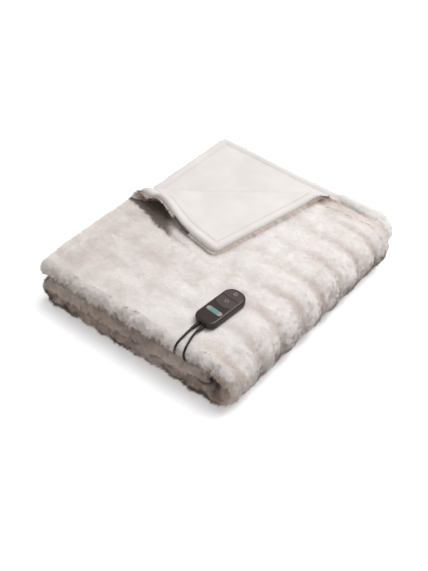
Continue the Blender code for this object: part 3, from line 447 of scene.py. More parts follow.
def corner_roll(p):
    """The radius of the roll at the corner's fold line."""
    lift = CORNER_LIFT * (1 - smooth(np.abs(p), LIFT_NEAR, LIFT_FAR)) + closed_lift(p)
    return CORNER_ROLL + 0.5 * lift


def turn_corner(x, y, w):
    """The upper layer's corner, rolled over its fold line and laid back on the top."""
    q, p = corner_place(x, y)
    radius = corner_roll(p)
    start = 0.5 * math.pi * (radius - CORNER_ROLL)
    gone = q + start
    angle = np.clip(gone / radius, 0.0, math.pi)
    rest = np.maximum(gone - math.pi * radius, 0.0)
    lift = CORNER_LIFT * (1 - smooth(np.hypot(p, rest), LIFT_NEAR, LIFT_FAR))
    lift = lift + closed_lift(p) * (1 - smooth(rest, 0.0, 0.10))
    arch = np.exp(-((p - ARCH_P) ** 2 + (rest - ARCH_Q) ** 2) / ARCH_WIDE**2)
    arch = arch * smooth(rest, 0, 0.05)
    lift = np.where(rest > 0, lift + ARCH_HIGH * arch, 2 * (radius - CORNER_ROLL))
    rise = np.where(rest > 0, 2 * CORNER_ROLL + lift, radius * (1 - np.cos(angle)))
    reach = radius * np.sin(angle) - rest - start + ARCH_BACK * arch
    shift = np.where(gone > 0, reach - q - w * np.sin(angle), 0.0)
    z = Z_TOP + STEP + np.where(gone > 0, rise + w * np.cos(angle), w)
    return x - shift * ACROSS.x, y - shift * ACROSS.y, z


print(f"the corner's fold line is {CORNER_LONG:.3f} m long")

# %% [markdown]
# ## The sheet in its place
# Last, the package settles a little askew, as one folded by hand does. One function then gives
# the folded place of any point of the flat sheet.


# %% The folded sheet
def settle(x, y, z):
    """The whole package lies a little askew, and its top third stands back at the front."""
    front = (BACK_LOWER - y) / (BACK_LOWER - FRONT_Y)
    top = smooth(z, Z_MIDDLE + PAIR, Z_TOP - PAIR)
    left = 1 - smooth(x, LEFT_X, LEFT_X + 0.2)
    nose = 1 - smooth(y, FRONT_Y - PAIR, FRONT_Y + NOSE_WIDE)
    rear = smooth(y, BACK_LOWER - REAR_LONG, BACK_LOWER) * smooth(x, WRAP_X - 0.06, RIGHT_X)
    x = x + NOSE_BACK * top * left * nose - REAR_IN * rear
    return x, y + front * (SKEW * x + TOP_BACK * z / TOP_OF_CLOTH), np.maximum(z, 0.0)


def soft_corner(s, t):
    """The flat sheet with its four corners rounded."""
    u, v = s - LENGTH / 2, t - WIDTH / 2
    a = np.clip((np.abs(u) - LENGTH / 2) / CORNER_SOFT + 1, 0, 1)
    b = np.clip((np.abs(v) - WIDTH / 2) / CORNER_SOFT + 1, 0, 1)
    pull_a, pull_b = a * (1 - np.sqrt(1 - b * b / 2)), b * (1 - np.sqrt(1 - a * a / 2))
    return s - np.sign(u) * pull_a * CORNER_SOFT, t - np.sign(v) * pull_b * CORNER_SOFT


def folded(s, t, w):
    """A point of the flat sheet in its folded place."""
    s, t = soft_corner(s, t)
    y, v = fold_in_half(t, w)
    turned_up = np.where(t > T2, rim(s, y), 0.0)
    v = v + np.where(t > T2, sag(s, y), 0.0) + RIM_UP * turned_up
    x, z = fold_in_thirds(s, v)
    near_corner = 1 - smooth(s, 0.0, 0.3)
    x = x - UNDER_OUT * smooth(t, T2 + 0.2, T2 + 0.45) * near_corner
    y = y + UNDER_BACK * smooth(t, T2 + 0.2, WIDTH) * near_corner - RIM_IN * turned_up
    upper = (s < S1) & (t < T1)
    tx, ty, tz = turn_corner(x, y, w)
    x, y, z = np.where(upper, tx, x), np.where(upper, ty, y), np.where(upper, tz, z)
    y = y - np.where(t < T1, drawn_in(s, x, y), 0.0)
    return np.stack(settle(x, y, z), -1)


print("the sheet's first corner lies at", folded(*np.zeros((3, 1)))[0].round(3).tolist())

# %% [markdown]
# ## Noise and places on the sheet
# A smoothed grid of random numbers gives the unevenness of real pile at any size. The other
# functions say how a place of the flat sheet comes to lie: by an edge, under the turned corner,
# under the handset or on an outer side.

# %% Noise and places
NOISE_CELLS = 128


def soft_noise(s, t, size, seed):
    """Smooth noise between -1 and 1 with features of about this size in metres."""
    grid = np.random.RandomState(seed).uniform(-1, 1, (NOISE_CELLS, NOISE_CELLS))
    u, v = np.asarray(s) / size, np.asarray(t) / size
    i, j = np.floor(u).astype(int), np.floor(v).astype(int)
    a, b = u - i, v - j
    a, b = a * a * (3 - 2 * a), b * b * (3 - 2 * b)
    i, j, i_next, j_next = (n % NOISE_CELLS for n in (i, j, i + 1, j + 1))
    return (
        grid[i, j] * (1 - a) * (1 - b)
        + grid[i_next, j] * a * (1 - b)
        + grid[i, j_next] * (1 - a) * b
        + grid[i_next, j_next] * a * b
    )


def edge_distance(s, t):
    """How far a place is from the sheet's nearest edge."""
    return np.minimum(np.minimum(s, LENGTH - s), np.minimum(t, WIDTH - t))


def rounding(edge):
    """The share of its thickness that the sheet has at this distance from its edge."""
    return np.sqrt(1 - (1 - np.clip(edge / HEM_ROUND, 0, 1)) ** 2)


def plan(s, t):
    """Where a point of the top third lies in plan before the corner is turned."""
    return LEFT_X + s, np.where(t < T1, BACK_UPPER - t, FRONT_Y + (t - T2))


def on_top(s, t):
    """True on the top third's upper layer."""
    return (s < S1) & (t < T1)


def past_fold(s, t):
    """How far a place of the top lies past the corner's fold line."""
    return corner_place(*plan(s, t))[0]


def inside_corner(s, t):
    """How far a place of the top lies inside the outline of the turned corner."""
    (x, y), q = plan(s, t), past_fold(s, t)
    mirrored_x, mirrored_y = x + 2 * q * ACROSS.x, y + 2 * q * ACROSS.y
    return np.minimum(mirrored_x - LEFT_X, BACK_UPPER - mirrored_y)


def under_corner(s, t):
    """1 where the turned corner lies on the upper layer, 0 well clear of it."""
    return smooth(inside_corner(s, t), -0.014, -0.002) * on_top(s, t)


def past_handset(s, t):
    """How far a place of the top lies outside the handset, below 0 under it."""
    x, y = plan(s, t)
    dx, dy = x - HANDSET_X, y - HANDSET_Y
    cos, sin = math.cos(HANDSET_TURN), math.sin(HANDSET_TURN)
    across, along = np.abs(dx * cos + dy * sin), np.abs(dy * cos - dx * sin)
    return np.maximum(across - HANDSET_WIDE / 2, along - HANDSET_LONG / 2)


def pressed(s, t):
    """1 where the handset or a cord presses the pile down."""
    x, y = plan(s, t)
    patch = 1 - smooth(past_handset(s, t), 0.002, 0.016)
    middle = (BLANKET_ROUTE[0][0] + MAINS_ROUTE[9][0]) / 2
    leads = (1 - smooth(np.abs(x - middle), 0.021, 0.034)) * (1 - smooth(y, -0.25, -0.23))
    return np.maximum(patch, leads) * (s < S1)


def open_pile(s, t):
    """1 on the stretches of pile face that lie outside the folds."""
    wrap = np.clip((s - S1) / OUTER_WRAP, 0, math.pi)
    small = np.clip((s - S3) / INNER_WRAP, 0, math.pi)
    full = np.where(s < S1, 1.0, np.where(s < S2, 1 - smooth(wrap, 1.7, 2.9), 0.0))
    bulge = np.where((s > S3) & (s < S4), np.sin(small) ** 2, 0.0)
    return np.maximum(full, bulge) * (t < (T1 + T2) / 2)


top_s, top_t = np.meshgrid(np.linspace(0, S1, 200), np.linspace(0, T1, 200))
print(f"{pressed(top_s, top_t).mean():.1%} of the top is pressed")

# %% [markdown]
# ## Relief of the two faces
# The pile face is ruched: rows of soft ribs run along the throw, puckered like gathered cloth
# and higher towards the full-height fold. The other face is flat plush with a rolled hem. Both
# are heights above the sheet's middle, so the folds carry them along.


# %% Relief of the two faces
TUFT_ROOM = 0.0015  # the backing under the tufts lies this much below the pile's mean height


def ribs(s, t):
    """Where a place lies across the ribs, counted in ribs, and the height there, 0 to 1."""
    drift = 0.006 * np.sin(s * 17.0) + 0.003 * np.sin(s * 41.0 + 1.0)
    place = (np.minimum(t, T1) + drift) / RIB_PITCH + 0.12
    return place, (np.sin(math.pi * place) ** 2 + 0.03) ** 0.45


def relief(s, t):
    """How far the ruched pile stands from its mean, with the pressed places flat."""
    place, rib = ribs(s, t)
    along = 2 * math.pi * s / PUCKER_PITCH
    uneven = 1 + 0.3 * soft_noise(s, t, 0.08, 6)
    near_fold = (0.60 + 0.55 * smooth(s, S1 - 0.20, S1 + 0.03)) * uneven
    pucker = np.sin(along + 2.4 * np.floor(place) + 0.8 * np.sin(s * 9.0))
    pucker = pucker * (0.5 + 0.5 * soft_noise(s, t, 0.09, 7))
    shape = near_fold * RIB_DEEP * (rib - RIB_UP) + PUCKER_HIGH * pucker * rib
    scallop = 0.0024 * np.sin(along + 0.9 * np.sin(s * 13.0))
    front = np.sin(turn_at(t)) ** 2
    shape = shape * open_pile(s, t) * (1 - front) + scallop * front
    lumps = 0.0018 * soft_noise(s * 0.45, t, 0.028, 3) + 0.0006 * soft_noise(s * 0.6, t, 0.012, 4)
    shape = shape + lumps * np.maximum(open_pile(s, t), front)
    shape = shape * smooth(edge_distance(s, t), 0.004, 0.03)
    shape = np.where(t > T2, 0.0, shape)
    flat = np.maximum(under_corner(s, t), smooth(past_fold(s, t), -0.012, 0.0) * on_top(s, t))
    hold = pressed(s, t)
    return shape * (1 - flat) * (1 - hold) - PRESSED * hold


def hem_shape(s, t):
    """The rolled hem and its sewing on the plush face, where that face shows."""
    turned = smooth(past_fold(s, t), 0.012, 0.04)
    reaching = smooth(plan(s, t)[1], BACK_UPPER + 0.01, BACK_UPPER + 0.03)
    bare = np.where(t < T1, turned, np.maximum(turned, reaching) * (t > T2)) * (s < S1 + 0.02)
    edge = edge_distance(s, t)
    bead = BEAD_HIGH * np.clip(1 - ((edge - BEAD_WIDE / 2) / (BEAD_WIDE / 2)) ** 2, 0, 1)
    at = BEAD_WIDE + GROOVE_WIDE / 2
    return bare * (bead - GROOVE_DEEP * np.clip(1 - np.abs(edge - at) / (GROOVE_WIDE / 2), 0, 1))


def pile_height(s, t):
    """The backing's height on the pile face."""
    edge = rounding(edge_distance(s, t))
    room = TUFT_ROOM * edge * (1 - pressed(s, t)) * (1 - under_corner(s, t))
    return HALF * edge + relief(s, t) - room


def plush_height(s, t):
    """The plush face's height, below 0 because it is the sheet's other side."""
    return -(HALF * rounding(edge_distance(s, t)) + hem_shape(s, t))


print(f"the pile's relief: {np.ptp(relief(top_s, top_t)) * 1000:.1f} mm")

# %% [markdown]
# ## Painted shade on the pile
# Shade is painted on the pile in a warm dark tone, like that of the fibres' roots: on the noses
# of the folds and inside them, round the full-height fold, between the ribs, along the hems, at
# the left end and under the turned corner. Blades as coarse as these can't part or shade like real
# fibres, so how deep the shade goes is worked out for each place and painted on.


# %% Painted shade
# painted shade at full depth multiplies the fur's colour by this warm dark tone, near that of its
# roots
SHADE_TINT = (0.40, 0.29, 0.235)  # what the roots' colour multiplies the tips' by


def flap_shadow(s, t):
    """1 where a shadow is painted on the pile just below the turned corner's open edge."""
    x, y = plan(s, t)
    q, p = corner_place(x, y)
    beside = x + 2 * q * ACROSS.x - LEFT_X + 0.002 + 0.11 * p
    return smooth(beside, -0.003, 0.003) * (q < 0) * on_top(s, t) * (1 - smooth(p, 0.085, 0.115))


def painted_shade_depth(s, t):
    """How deep a warm dark shade is painted on the pile: 0 in full light, 1 in its deepest shade.
    """
    # Painted shade on the fold noses, inside the folds and the roll, under the hem's bead, between
    # the ribs, at the left end, round the wrap, along the rear hem and below the turned corner's
    # open edge; the patches are random tone.
    turn, edge, top, q = turn_at(t), edge_distance(s, t), on_top(s, t), past_fold(s, t)
    wrapped = smooth(s, S1 - 0.02, S1 + 0.03)
    outer_nose = (0.70 + 0.25 * wrapped) * smooth(turn + 0.3 * wrapped, 1.15, 2.05)
    nose = np.where(s < S2, outer_nose, 0.50 * np.sin(turn) ** 2)
    inner = 0.95 * smooth(t, T2 - 0.006, T2 + 0.008)
    rolled = 0.95 * smooth(q, -0.02, 0.02) * top * smooth(edge, 0.004, 0.02)
    hem = 0.32 * smooth(q, -0.03, 0.0) * top * (1 - smooth(edge, 0.003, 0.010))
    hem = hem * (1 + 0.8 * soft_noise(s, t, 0.004, 35))
    between_ribs = np.clip(1 - 1.3 * ribs(s, t)[1], 0, 1)
    valley = (0.04 + 0.30 * smooth(s, S1 - 0.16, S1 + 0.05)) * between_ribs
    left = 0.09 * (1 - smooth(s, 0.02, 0.30)) * (s < S1)
    wrap = 0.42 * smooth(s, S1 + 0.03, S1 + 0.10) * (s < S2)
    rear = 0.28 * (1 - smooth(t, 0.004, 0.034)) * (s > 0.30) * (s < S2)
    patches = soft_noise(s * 0.5, t, 0.030, 31) + 0.6 * soft_noise(s * 0.6, t, 0.011, 32)
    soft = valley + left + wrap + rear + 0.09 * np.clip(patches, 0, 1)
    return np.clip(nose + inner + rolled + 0.8 * flap_shadow(s, t) + hem + soft, 0, 1)


def painted_fur_shade(s, t):
    """The pile's painted shade: white in full light, darker and warmer in shade, and darker still
    in the painted shadow below the turned corner.
    """
    warm = np.array([SHADE_TINT]) ** painted_shade_depth(s, t)[:, None]
    return warm * (1 - 0.62 * flap_shadow(s, t))[:, None]


# the mean depth of the painted shade on the top
print(f"mean root depth of the top: {painted_shade_depth(top_s, top_t).mean():.2f}")

# %% [markdown]
# ## The throw
# The sheet is a closed grid, closer at the hem and the folds, with its faces joined round the
# edge. A stack folded by hand is set by its folds and not by gravity, so the arcs above place it
# better than a cloth simulation would.


# %% The throw's mesh
BACKING_SHADE = 0.91  # the backing's own colour lies in the shade of the tufts


def spaced(start, stop, step):
    """Even places from start to stop, about a step apart."""
    return np.linspace(start, stop, max(1, round((stop - start) / step)) + 1)


HEM_ROWS = (0.0, 0.0012, 0.003, 0.0055, 0.009, 0.0125, 0.016, 0.020, 0.0215, 0.023, 0.0245, 0.026)
HEM_END, STRIP_FROM = HEM_ROWS[-1], WIDTH - 0.074
along_lines = np.concatenate([
    HEM_ROWS, spaced(HEM_END, S1, 0.0058), spaced(S1, S2, 0.0058), spaced(S2, S3, 0.0085),
    spaced(S3, S4, 0.0045), spaced(S4, LENGTH - 0.012, 0.0085),
    (LENGTH - 0.006, LENGTH - 0.002, LENGTH)])
across_lines = np.concatenate([
    HEM_ROWS, spaced(HEM_END, T1, 0.0062), np.linspace(T1, T2, 13), spaced(T2, STRIP_FROM, 0.013),
    spaced(STRIP_FROM, WIDTH - HEM_END, 0.004), WIDTH - np.array(HEM_ROWS)])
along_lines = np.unique(np.round(along_lines, 6))
across_lines = np.unique(np.round(across_lines, 6))


def link_mesh(name, points, faces, materials):
    """A mesh object from arrays of points and faces that all have the same number of corners."""
    points, faces = np.asarray(points, np.float32), np.asarray(faces, np.int32)
    mesh = bpy.data.meshes.new(name)
    mesh.vertices.add(len(points))
    mesh.vertices.foreach_set("co", points.ravel())
    mesh.loops.add(faces.size)
    mesh.loops.foreach_set("vertex_index", faces.ravel())
    mesh.polygons.add(len(faces))
    starts = np.arange(0, faces.size, faces.shape[1], dtype=np.int32)
    mesh.polygons.foreach_set("loop_start", starts)
    mesh.update(calc_edges=True)
    mesh.polygons.foreach_set("use_smooth", np.ones(len(faces), bool))
    for finish in materials:
        mesh.materials.append(finish)
    return placed(name, mesh)


def paint(thing, shades):
    """Stores a painted shade for each point of a piece, which its fur finish multiplies by."""
    layer = thing.data.color_attributes.new("shade", "FLOAT_COLOR", "POINT")
    layer.data.foreach_set("color", np.insert(shades, 3, 1.0, axis=1).astype(np.float32).ravel())


def throw_mesh(materials):
    """Both faces as grids that share their points round the sheet's edge."""
    rows, columns = len(along_lines), len(across_lines)
    s, t = (a.ravel() for a in np.meshgrid(along_lines, across_lines, indexing="ij"))
    number = np.arange(rows * columns).reshape(rows, columns)
    border = np.zeros((rows, columns), bool)
    border[0], border[-1], border[:, 0], border[:, -1] = True, True, True, True
    own = ~border.ravel()
    order = np.cumsum(own) - 1 + rows * columns
    below = np.where(border, number, order.reshape(rows, columns))
    plush_points = folded(s, t, plush_height(s, t))[own]
    points = np.concatenate([folded(s, t, pile_height(s, t)), plush_points])
    faces = []
    for grid, flip in ((number, True), (below, False)):
        quad = [grid[:-1, :-1], grid[:-1, 1:], grid[1:, 1:], grid[1:, :-1]]
        faces.append(np.stack([q.ravel() for q in (quad[::-1] if flip else quad)], -1))
    made = link_mesh("throw_cloth", points, np.concatenate(faces), materials)
    index = np.repeat([0, 1], [len(faces[0]), len(faces[1])]).astype(np.int32)
    made.data.polygons.foreach_set("material_index", index)
    # painted shade on the pile face's backing, darker still by BACKING_SHADE; the plush face
    # doesn't use it
    paint(made, np.concatenate([painted_fur_shade(s, t), np.ones((own.sum(), 3))]) * BACKING_SHADE)
    return made


print(f"the sheet's grid: {len(along_lines)} rows along it, {len(across_lines)} across")

# %% [markdown]
# ## Faux fur
# The pile is fine acrylic fibre, about a centimetre long and so dense that only clumps show.
# Light scatters many times in it, which makes it pale and soft with darker roots. Real blades
# stand on it here, because a texture alone stays flat at the outline, where fur is most itself.


# %% Fur finishes
def fur_finish(name, dark, light, strength):
    """Fur colour that varies in soft patches of 30 mm and strands of 3 mm, times the painted shade
    stored on each point.
    """
    made, tree, shader = new_material(name, light, Roughness=0.95, Sheen_Weight=0.25,
                                      Sheen_Roughness=0.6)
    patches, strands = noise(tree, 33.0, 2.0), noise(tree, 330.0, 2.0)
    both = add_node(tree, "Mix", {"Factor": 0.6, "A": patches, "B": strands})
    tones = two_tones(tree, both.outputs["Result"], 0.32, dark, 0.62, light)
    shade = add_node(tree, "VertexColor", layer_name="shade")
    toned = add_node(tree, "Mix", {"A": tones, "B": shade.outputs["Color"]},
                     data_type="RGBA", blend_type="MULTIPLY")
    toned.inputs["Factor"].default_value = 1.0
    colour_by(tree, shader, toned.outputs["Result"])
    if strength:
        grain(tree, shader, strands, strength, 0.0015)
    return made


backing = fur_finish("acrylic_pile_roots", "#C8C4C2", "#D4D1D0", 0.35)
fur = fur_finish("acrylic_pile_tips", "#CDC8C4", "#D9D6D3", 0.0)
print("fur finishes:", backing.name, "and", fur.name)

# %% [markdown]
# ## Plush
# The other face is short polyester plush with a 2 mm pile, brushed one way. It reads as a smooth
# warm white with a very fine nap and faint brushed patches.

# %% Plush finish
plush, tree, shader = new_material("polyester_plush", "#C5C2BF", Roughness=0.9, Sheen_Weight=0.3,
                                   Sheen_Roughness=0.5)
brushed = noise(tree, 14.0, 3.0)
colour_by(tree, shader, two_tones(tree, brushed, 0.35, "#BFBBB8", 0.65, "#C5C2BF"))
grain(tree, shader, noise(tree, 700.0, 2.0), 0.35, 0.0008)

throw = throw_mesh([backing, plush])
print("throw faces:", len(throw.data.polygons))

# %% [markdown]
# ## How the pile leans
# A clump leans in a direction that changes slowly over the cloth, and near the edge it leans out
# over the hem. The blades' normals follow the cloth, ruffled a little, so the light falls on the
# pile as on one soft surface.


# %% Directions on the cloth
def unit(vectors):
    """The vectors at a length of 1."""
    return vectors / (np.linalg.norm(vectors, axis=1)[:, None] + 1e-12)


def surface(s, t, height=pile_height, side=1):
    """Places on one face of the sheet, with the directions along, across and out of it."""
    step, w = 0.0015, height(s, t)
    here = folded(s, t, w)
    ahead = unit(folded(s + step, t, height(s + step, t)) - here)
    aside = unit(folded(s, t + step, height(s, t + step)) - here)
    out = unit(np.cross(ahead, aside))
    centre = folded(s, t, w + 0.002 * side) - here
    out *= np.where((out * centre).sum(1) < 0, -1.0, 1.0)[:, None]
    return here, ahead, aside, out


def lean_of(s, t, heading, ahead, aside):
    """Which way a clump leans: by its heading, and outwards at the hem."""
    lean = np.cos(heading)[:, None] * ahead + np.sin(heading)[:, None] * aside
    to_s = np.sign(s - LENGTH / 2) * (1.001 - smooth(np.minimum(s, LENGTH - s), 0.0, 0.03))
    to_t = np.sign(t - WIDTH / 2) * (1.001 - smooth(np.minimum(t, WIDTH - t), 0.0, 0.03))
    outward = unit(to_s[:, None] * ahead + to_t[:, None] * aside)
    hem = (1 - smooth(edge_distance(s, t), 0.008, 0.028))[:, None]
    return unit(lean * (1 - hem) + outward * hem * 1.3)


def ruffled(s, t, ahead, aside, out):
    """Out of the cloth, tipped to and fro, most on the noses and round the full-height fold."""
    amount = 0.09 + 0.24 * (np.sin(turn_at(t)) ** 2 + (s > S1)).clip(0, 1)
    along, across = amount * soft_noise(s, t, 0.005, 41), amount * soft_noise(s, t, 0.005, 42)
    return out + along[:, None] * ahead + across[:, None] * aside


_, _, _, top_out = surface(np.array([0.4]), np.array([0.4]))
print("out of the cloth on the top:", top_out[0].round(2).tolist())

# %% [markdown]
# ## Tufts of pile
# A tuft is sixteen blades that start round its place and come together at their tips. They cast
# no shadow, because light goes through a real fibre, and the shadows of flat opaque blades would
# make the pile much too dark.


# %% Tufts
BLADES, BLADE_HALF_WIDTH = 16, 0.00038
CLUMP_RADIUS, ROOT_BELOW, ABOVE_FLOOR = 0.0036, 0.0012, 0.0005
ROOT_TO_TIP = (0.86, 0.867, 0.998)  # shade at the two points of a blade's root and at its tip


def tufts(name, clumps, s_range, t_range, seed, long=0.0090, lie=64, keep=None,
          height=pile_height, rough=0.0):
    """Clumps of blades over a stretch of the sheet, each blade one thin triangle.

    long is their length, lie their mean angle from upright in degrees, rough how unruly they are.
    """
    random, on_plush = np.random.RandomState(seed), height is plush_height
    s, t = random.uniform(*s_range, clumps), random.uniform(*t_range, clumps)
    if keep is not None:
        wanted = keep(s, t)
        s, t = s[wanted], t[wanted]
    count = len(s)
    heading = 1.25 + soft_noise(s, t, 0.06, seed + 1) + 0.8 * soft_noise(s, t, 0.015, seed + 2)
    heading += random.normal(0, 0.3 + 0.5 * rough, count)
    tilt = lie + 5 * soft_noise(s, t, 0.03, seed + 3) + random.normal(0, 4 + 12 * rough, count)
    tilt = np.radians(tilt.clip(40, 100))[:, None]
    size = 1 + (0.20 + 0.15 * rough) * random.normal(0, 1, count)
    size = (long * size.clip(0.4, 1.5))[:, None]
    here, ahead, aside, out = surface(s, t, height, -1 if on_plush else 1)
    reach = size * (np.cos(tilt) * out + np.sin(tilt) * lean_of(s, t, heading, ahead, aside))
    who = np.repeat(np.arange(count), BLADES)

    def draw(low, high):
        """A random number for each blade."""
        return random.uniform(low, high, (len(who), 1))

    away, way = CLUMP_RADIUS * np.sqrt(draw(0, 1)), draw(0, 2 * math.pi)
    root = here[who] + away * (np.cos(way) * ahead[who] + np.sin(way) * aside[who])
    end = root + reach[who] * draw(0.75, 1.1)
    end += ((here + reach)[who] - end) * draw(0.1, 0.5)
    root -= ROOT_BELOW * out[who]
    wide = unit(np.cross(end - root, out[who])) * BLADE_HALF_WIDTH * draw(0.7, 1.4)
    points = np.stack([root - wide, root + wide, end], 1).reshape(-1, 3)
    points[:, 2] = np.maximum(points[:, 2], ABOVE_FLOOR)
    made = link_mesh(name, points, np.arange(len(points)).reshape(-1, 3), [fur])
    normal = 0.9 * ruffled(s, t, ahead, aside, out)[who] + 0.1 * (end - root) / size[who]
    made.data.normals_split_custom_set(np.repeat(unit(normal), 3, 0).astype(np.float32))
    tone = 1 + 0.05 * soft_noise(s * 0.7, t, 0.005, 33) + 0.03 * soft_noise(s * 0.4, t, 0.014, 34)
    tone = tone * (1 - 0.22 * rough * np.abs(random.normal(0, 1, count)).clip(0, 2))
    tone = tone[who] * (1 + 0.03 * random.normal(0, 1, len(who)))
    # each clump takes the painted shade of the pile where it stands
    colour = np.ones((count, 3)) if on_plush else painted_fur_shade(s, t)
    shade = (colour[who] * tone[:, None]).repeat(3, 0)
    paint(made, shade * np.tile(ROOT_TO_TIP, len(who))[:, None])
    made.visible_shadow = False
    print(f"{name}: {count} clumps, {len(who)} blades")
    return made


# %% [markdown]
# ## Where the pile grows
# Pressed or hidden pile gets no blades. The fold noses have looser, rougher pile, and stretches of
# their own curl round the hems.


# %% Stretches of pile
LABEL_FROM, LABEL_TO = 0.092, 0.148  # the label's place along the hem


def hem_middle(s, t):
    """Just above the middle of the sheet's edge, where the pile curls round the hem."""
    return 0.0015 + 0 * s


def shows(s, t):
    """Pile that is not deep under the turned corner, nor under the handset or a cord."""
    x, y = plan(s, t)
    turned = (past_fold(s, t) > 0.01) & on_top(s, t) & (edge_distance(s, t) > 0.02)
    held = past_handset(s, t) < 0.001
    for route in (BLANKET_ROUTE[:5], MAINS_ROUTE[:5]):
        lead_x = np.interp(-y, [-p[1] for p in route], [p[0] for p in route])
        held |= (np.abs(x - lead_x) < 0.0045) & (y < route[0][1] + 0.02)
    return (inside_corner(s, t) < 0.10) & ~turned & ~held


def on_fold_side(s, t):
    """Rear hem that isn't turned back with the corner."""
    return (s > S1) | (past_fold(s, t) < 0.0)


def turned_hem(s, t):
    """Hem that is turned back with the corner, but for the label's place."""
    by_label = (s < 0.02) & (t > LABEL_FROM - 0.002) & (t < LABEL_TO + 0.002)
    on_hem = (s < S1) & (edge_distance(s, t) < 0.011)
    return (past_fold(s, t) > -0.02) & on_hem & ~by_label


strip = (0.385, S1 + 0.07), (WIDTH - 0.048, WIDTH)
curl = dict(lie=74, keep=turned_hem, height=hem_middle, rough=0.5)
pile = [
    tufts("pile_top_front", 12000, (0.0, S1), (0.31, T1), 11, lie=74, keep=shows),
    tufts("pile_top_rear", 12000, (0.0, S1), (0.0, 0.31), 12, lie=74, keep=shows),
    tufts("pile_right_fold", 5600, (S1, S1 + 0.75 * (S2 - S1)), (0.0, T1), 13, lie=70, rough=0.2),
    tufts("pile_front_folds", 6200, (0.0, LENGTH), (T1 - 0.006, T2), 14, 0.0095, 56, rough=0.3),
    tufts("pile_left_fold", 2200, (S3, S4), (0.0, T1), 15, 0.0080, 60, rough=0.3),
    tufts("pile_rear_hems", 4200, (0.0, LENGTH), (0.0, 0.03), 16, 0.0065, keep=on_fold_side),
    tufts("pile_rear_strip", 2400, *strip, 24, 0.0055, height=plush_height),
    tufts("pile_turned_hem_rear", 1100, (0.0, 0.42), (0.0, 0.004), 19, 0.0100, **curl),
    tufts("pile_turned_hem_side", 800, (0.0, 0.004), (0.0, 0.33), 20, 0.0055, **curl),
    tufts("pile_left_hem", 1300, (0.0, 0.016), (0.25, T2), 21, 0.0110),
    tufts("pile_under_hem", 2600, (0.0, S2), (WIDTH - 0.02, WIDTH), 17, 0.0065),
    tufts("pile_side_hem", 1500, (0.0, 0.02), (T2, WIDTH), 18, 0.0065),
    tufts("pile_inside_right", 900, (S1 - 0.04, S2 + 0.06), (T2 - 0.004, T2 + 0.05), 22, lie=55),
    tufts("pile_inside_left", 700, (S3 - 0.04, S4 + 0.04), (T2 - 0.004, T2 + 0.05), 23, lie=55),
]

# %% [markdown]
# ## Sewing
# The hem is rolled to the plush side and held by a straight seam of thread, 3 mm to a stitch.
# Each stitch is a short thread with rounded ends that dips into the cloth at both ends.


# %% Sewing
thread = new_material("cotton_thread", "#DAD2CC", Roughness=0.8)[0]
STITCH_PITCH, STITCH_LONG, THREAD_RADIUS = 0.003, 0.0024, 0.00045
# how far along a stitch, from -1 to 1, and how thick it is there
STITCH_SHAPE = ((-1.0, 0.25), (-0.5, 0.85), (0.0, 1.0), (0.5, 0.85), (1.0, 0.25))
SIDES = 6  # of the thread's section


def stitches(name, stations):
    """One short thread per station, laid along the seam on the plush face."""
    s, t, along_s = (np.array(v) for v in zip(*stations))
    middles = []
    for part, _ in STITCH_SHAPE:
        a = s + part * STITCH_LONG / 2 * along_s
        b = t + part * STITCH_LONG / 2 * (1 - along_s)
        middles.append(folded(a, b, plush_height(a, b) - 0.0007 * (1 - part * part) - 0.0001))
    w = plush_height(s, t)
    out = unit(folded(s, t, w - 0.002) - folded(s, t, w))
    side = np.cross(unit(middles[-1] - middles[0]), out)
    rings = []
    for middle, (_, size) in zip(middles, STITCH_SHAPE):
        for angle in 2 * math.pi * np.arange(SIDES) / SIDES:
            away = math.cos(angle) * side + math.sin(angle) * out
            rings.append(middle + THREAD_RADIUS * size * away)
    points = np.stack(rings, 1).reshape(-1, 3)
    one = [(SIDES * k + m, SIDES * k + (m + 1) % SIDES, SIDES * (k + 1) + (m + 1) % SIDES,
            SIDES * (k + 1) + m) for k in range(len(STITCH_SHAPE) - 1) for m in range(SIDES)]
    starts = np.arange(len(s))[:, None, None] * SIDES * len(STITCH_SHAPE)
    return link_mesh(name, points, (np.array(one) + starts).reshape(-1, 4), [thread])


seam = BEAD_WIDE + GROOVE_WIDE / 2
in_view = [(s, seam, 1.0) for s in np.arange(seam, 0.43, STITCH_PITCH)]
in_view += [(seam, t, 0.0) for t in np.arange(seam, 0.36, STITCH_PITCH)]
in_view += [(s, WIDTH - seam, 1.0) for s in np.arange(seam, S1 + 0.02, STITCH_PITCH)]
in_view += [(seam, WIDTH - t, 0.0) for t in np.arange(seam, 0.42, STITCH_PITCH)]
sewing = stitches("hem_sewing", in_view)
print("stitches:", len(in_view))

# %% [markdown]
# ## The label
# A narrow tape of woven black satin is caught in the hem. Its own text is left out, so it is a
# plain weave: ribs 1.6 mm apart, which is coarser than a real tape's so that they show.

# %% Label finish
tape, tree, shader = new_material("woven_tape", "#2C2422", Roughness=0.55, Sheen_Weight=0.2)
place = add_node(tree, "TexCoord")
weave = add_node(tree, "TexWave", {"Vector": place.outputs["Object"], "Scale": 200.0,
                                   "Distortion": 0.3}, wave_type="BANDS", bands_direction="Z")
colour_by(tree, shader, two_tones(tree, weave.outputs["Fac"], 0.0, "#2C2422", 1.0, "#4B423E"))
grain(tree, shader, weave.outputs["Fac"], 0.4, 0.0002)


def refinish(finish, *nodes):
    """Gives CAD nodes this finish in place of their plain ones."""
    for node in nodes:
        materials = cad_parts[node].data.materials
        materials.clear()
        materials.append(finish)


refinish(tape, "blank_label")
print("the label's finish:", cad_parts["blank_label"].data.materials[0].name)

# %% [markdown]
# ## The handset
# Its shells are moulded ABS in a dark warm brown, spark-eroded to a fine satin grain. The keys
# are silicone rubber, a touch lighter and duller. The window is clear acrylic with a teal field
# printed behind its middle and light grey at its ends.

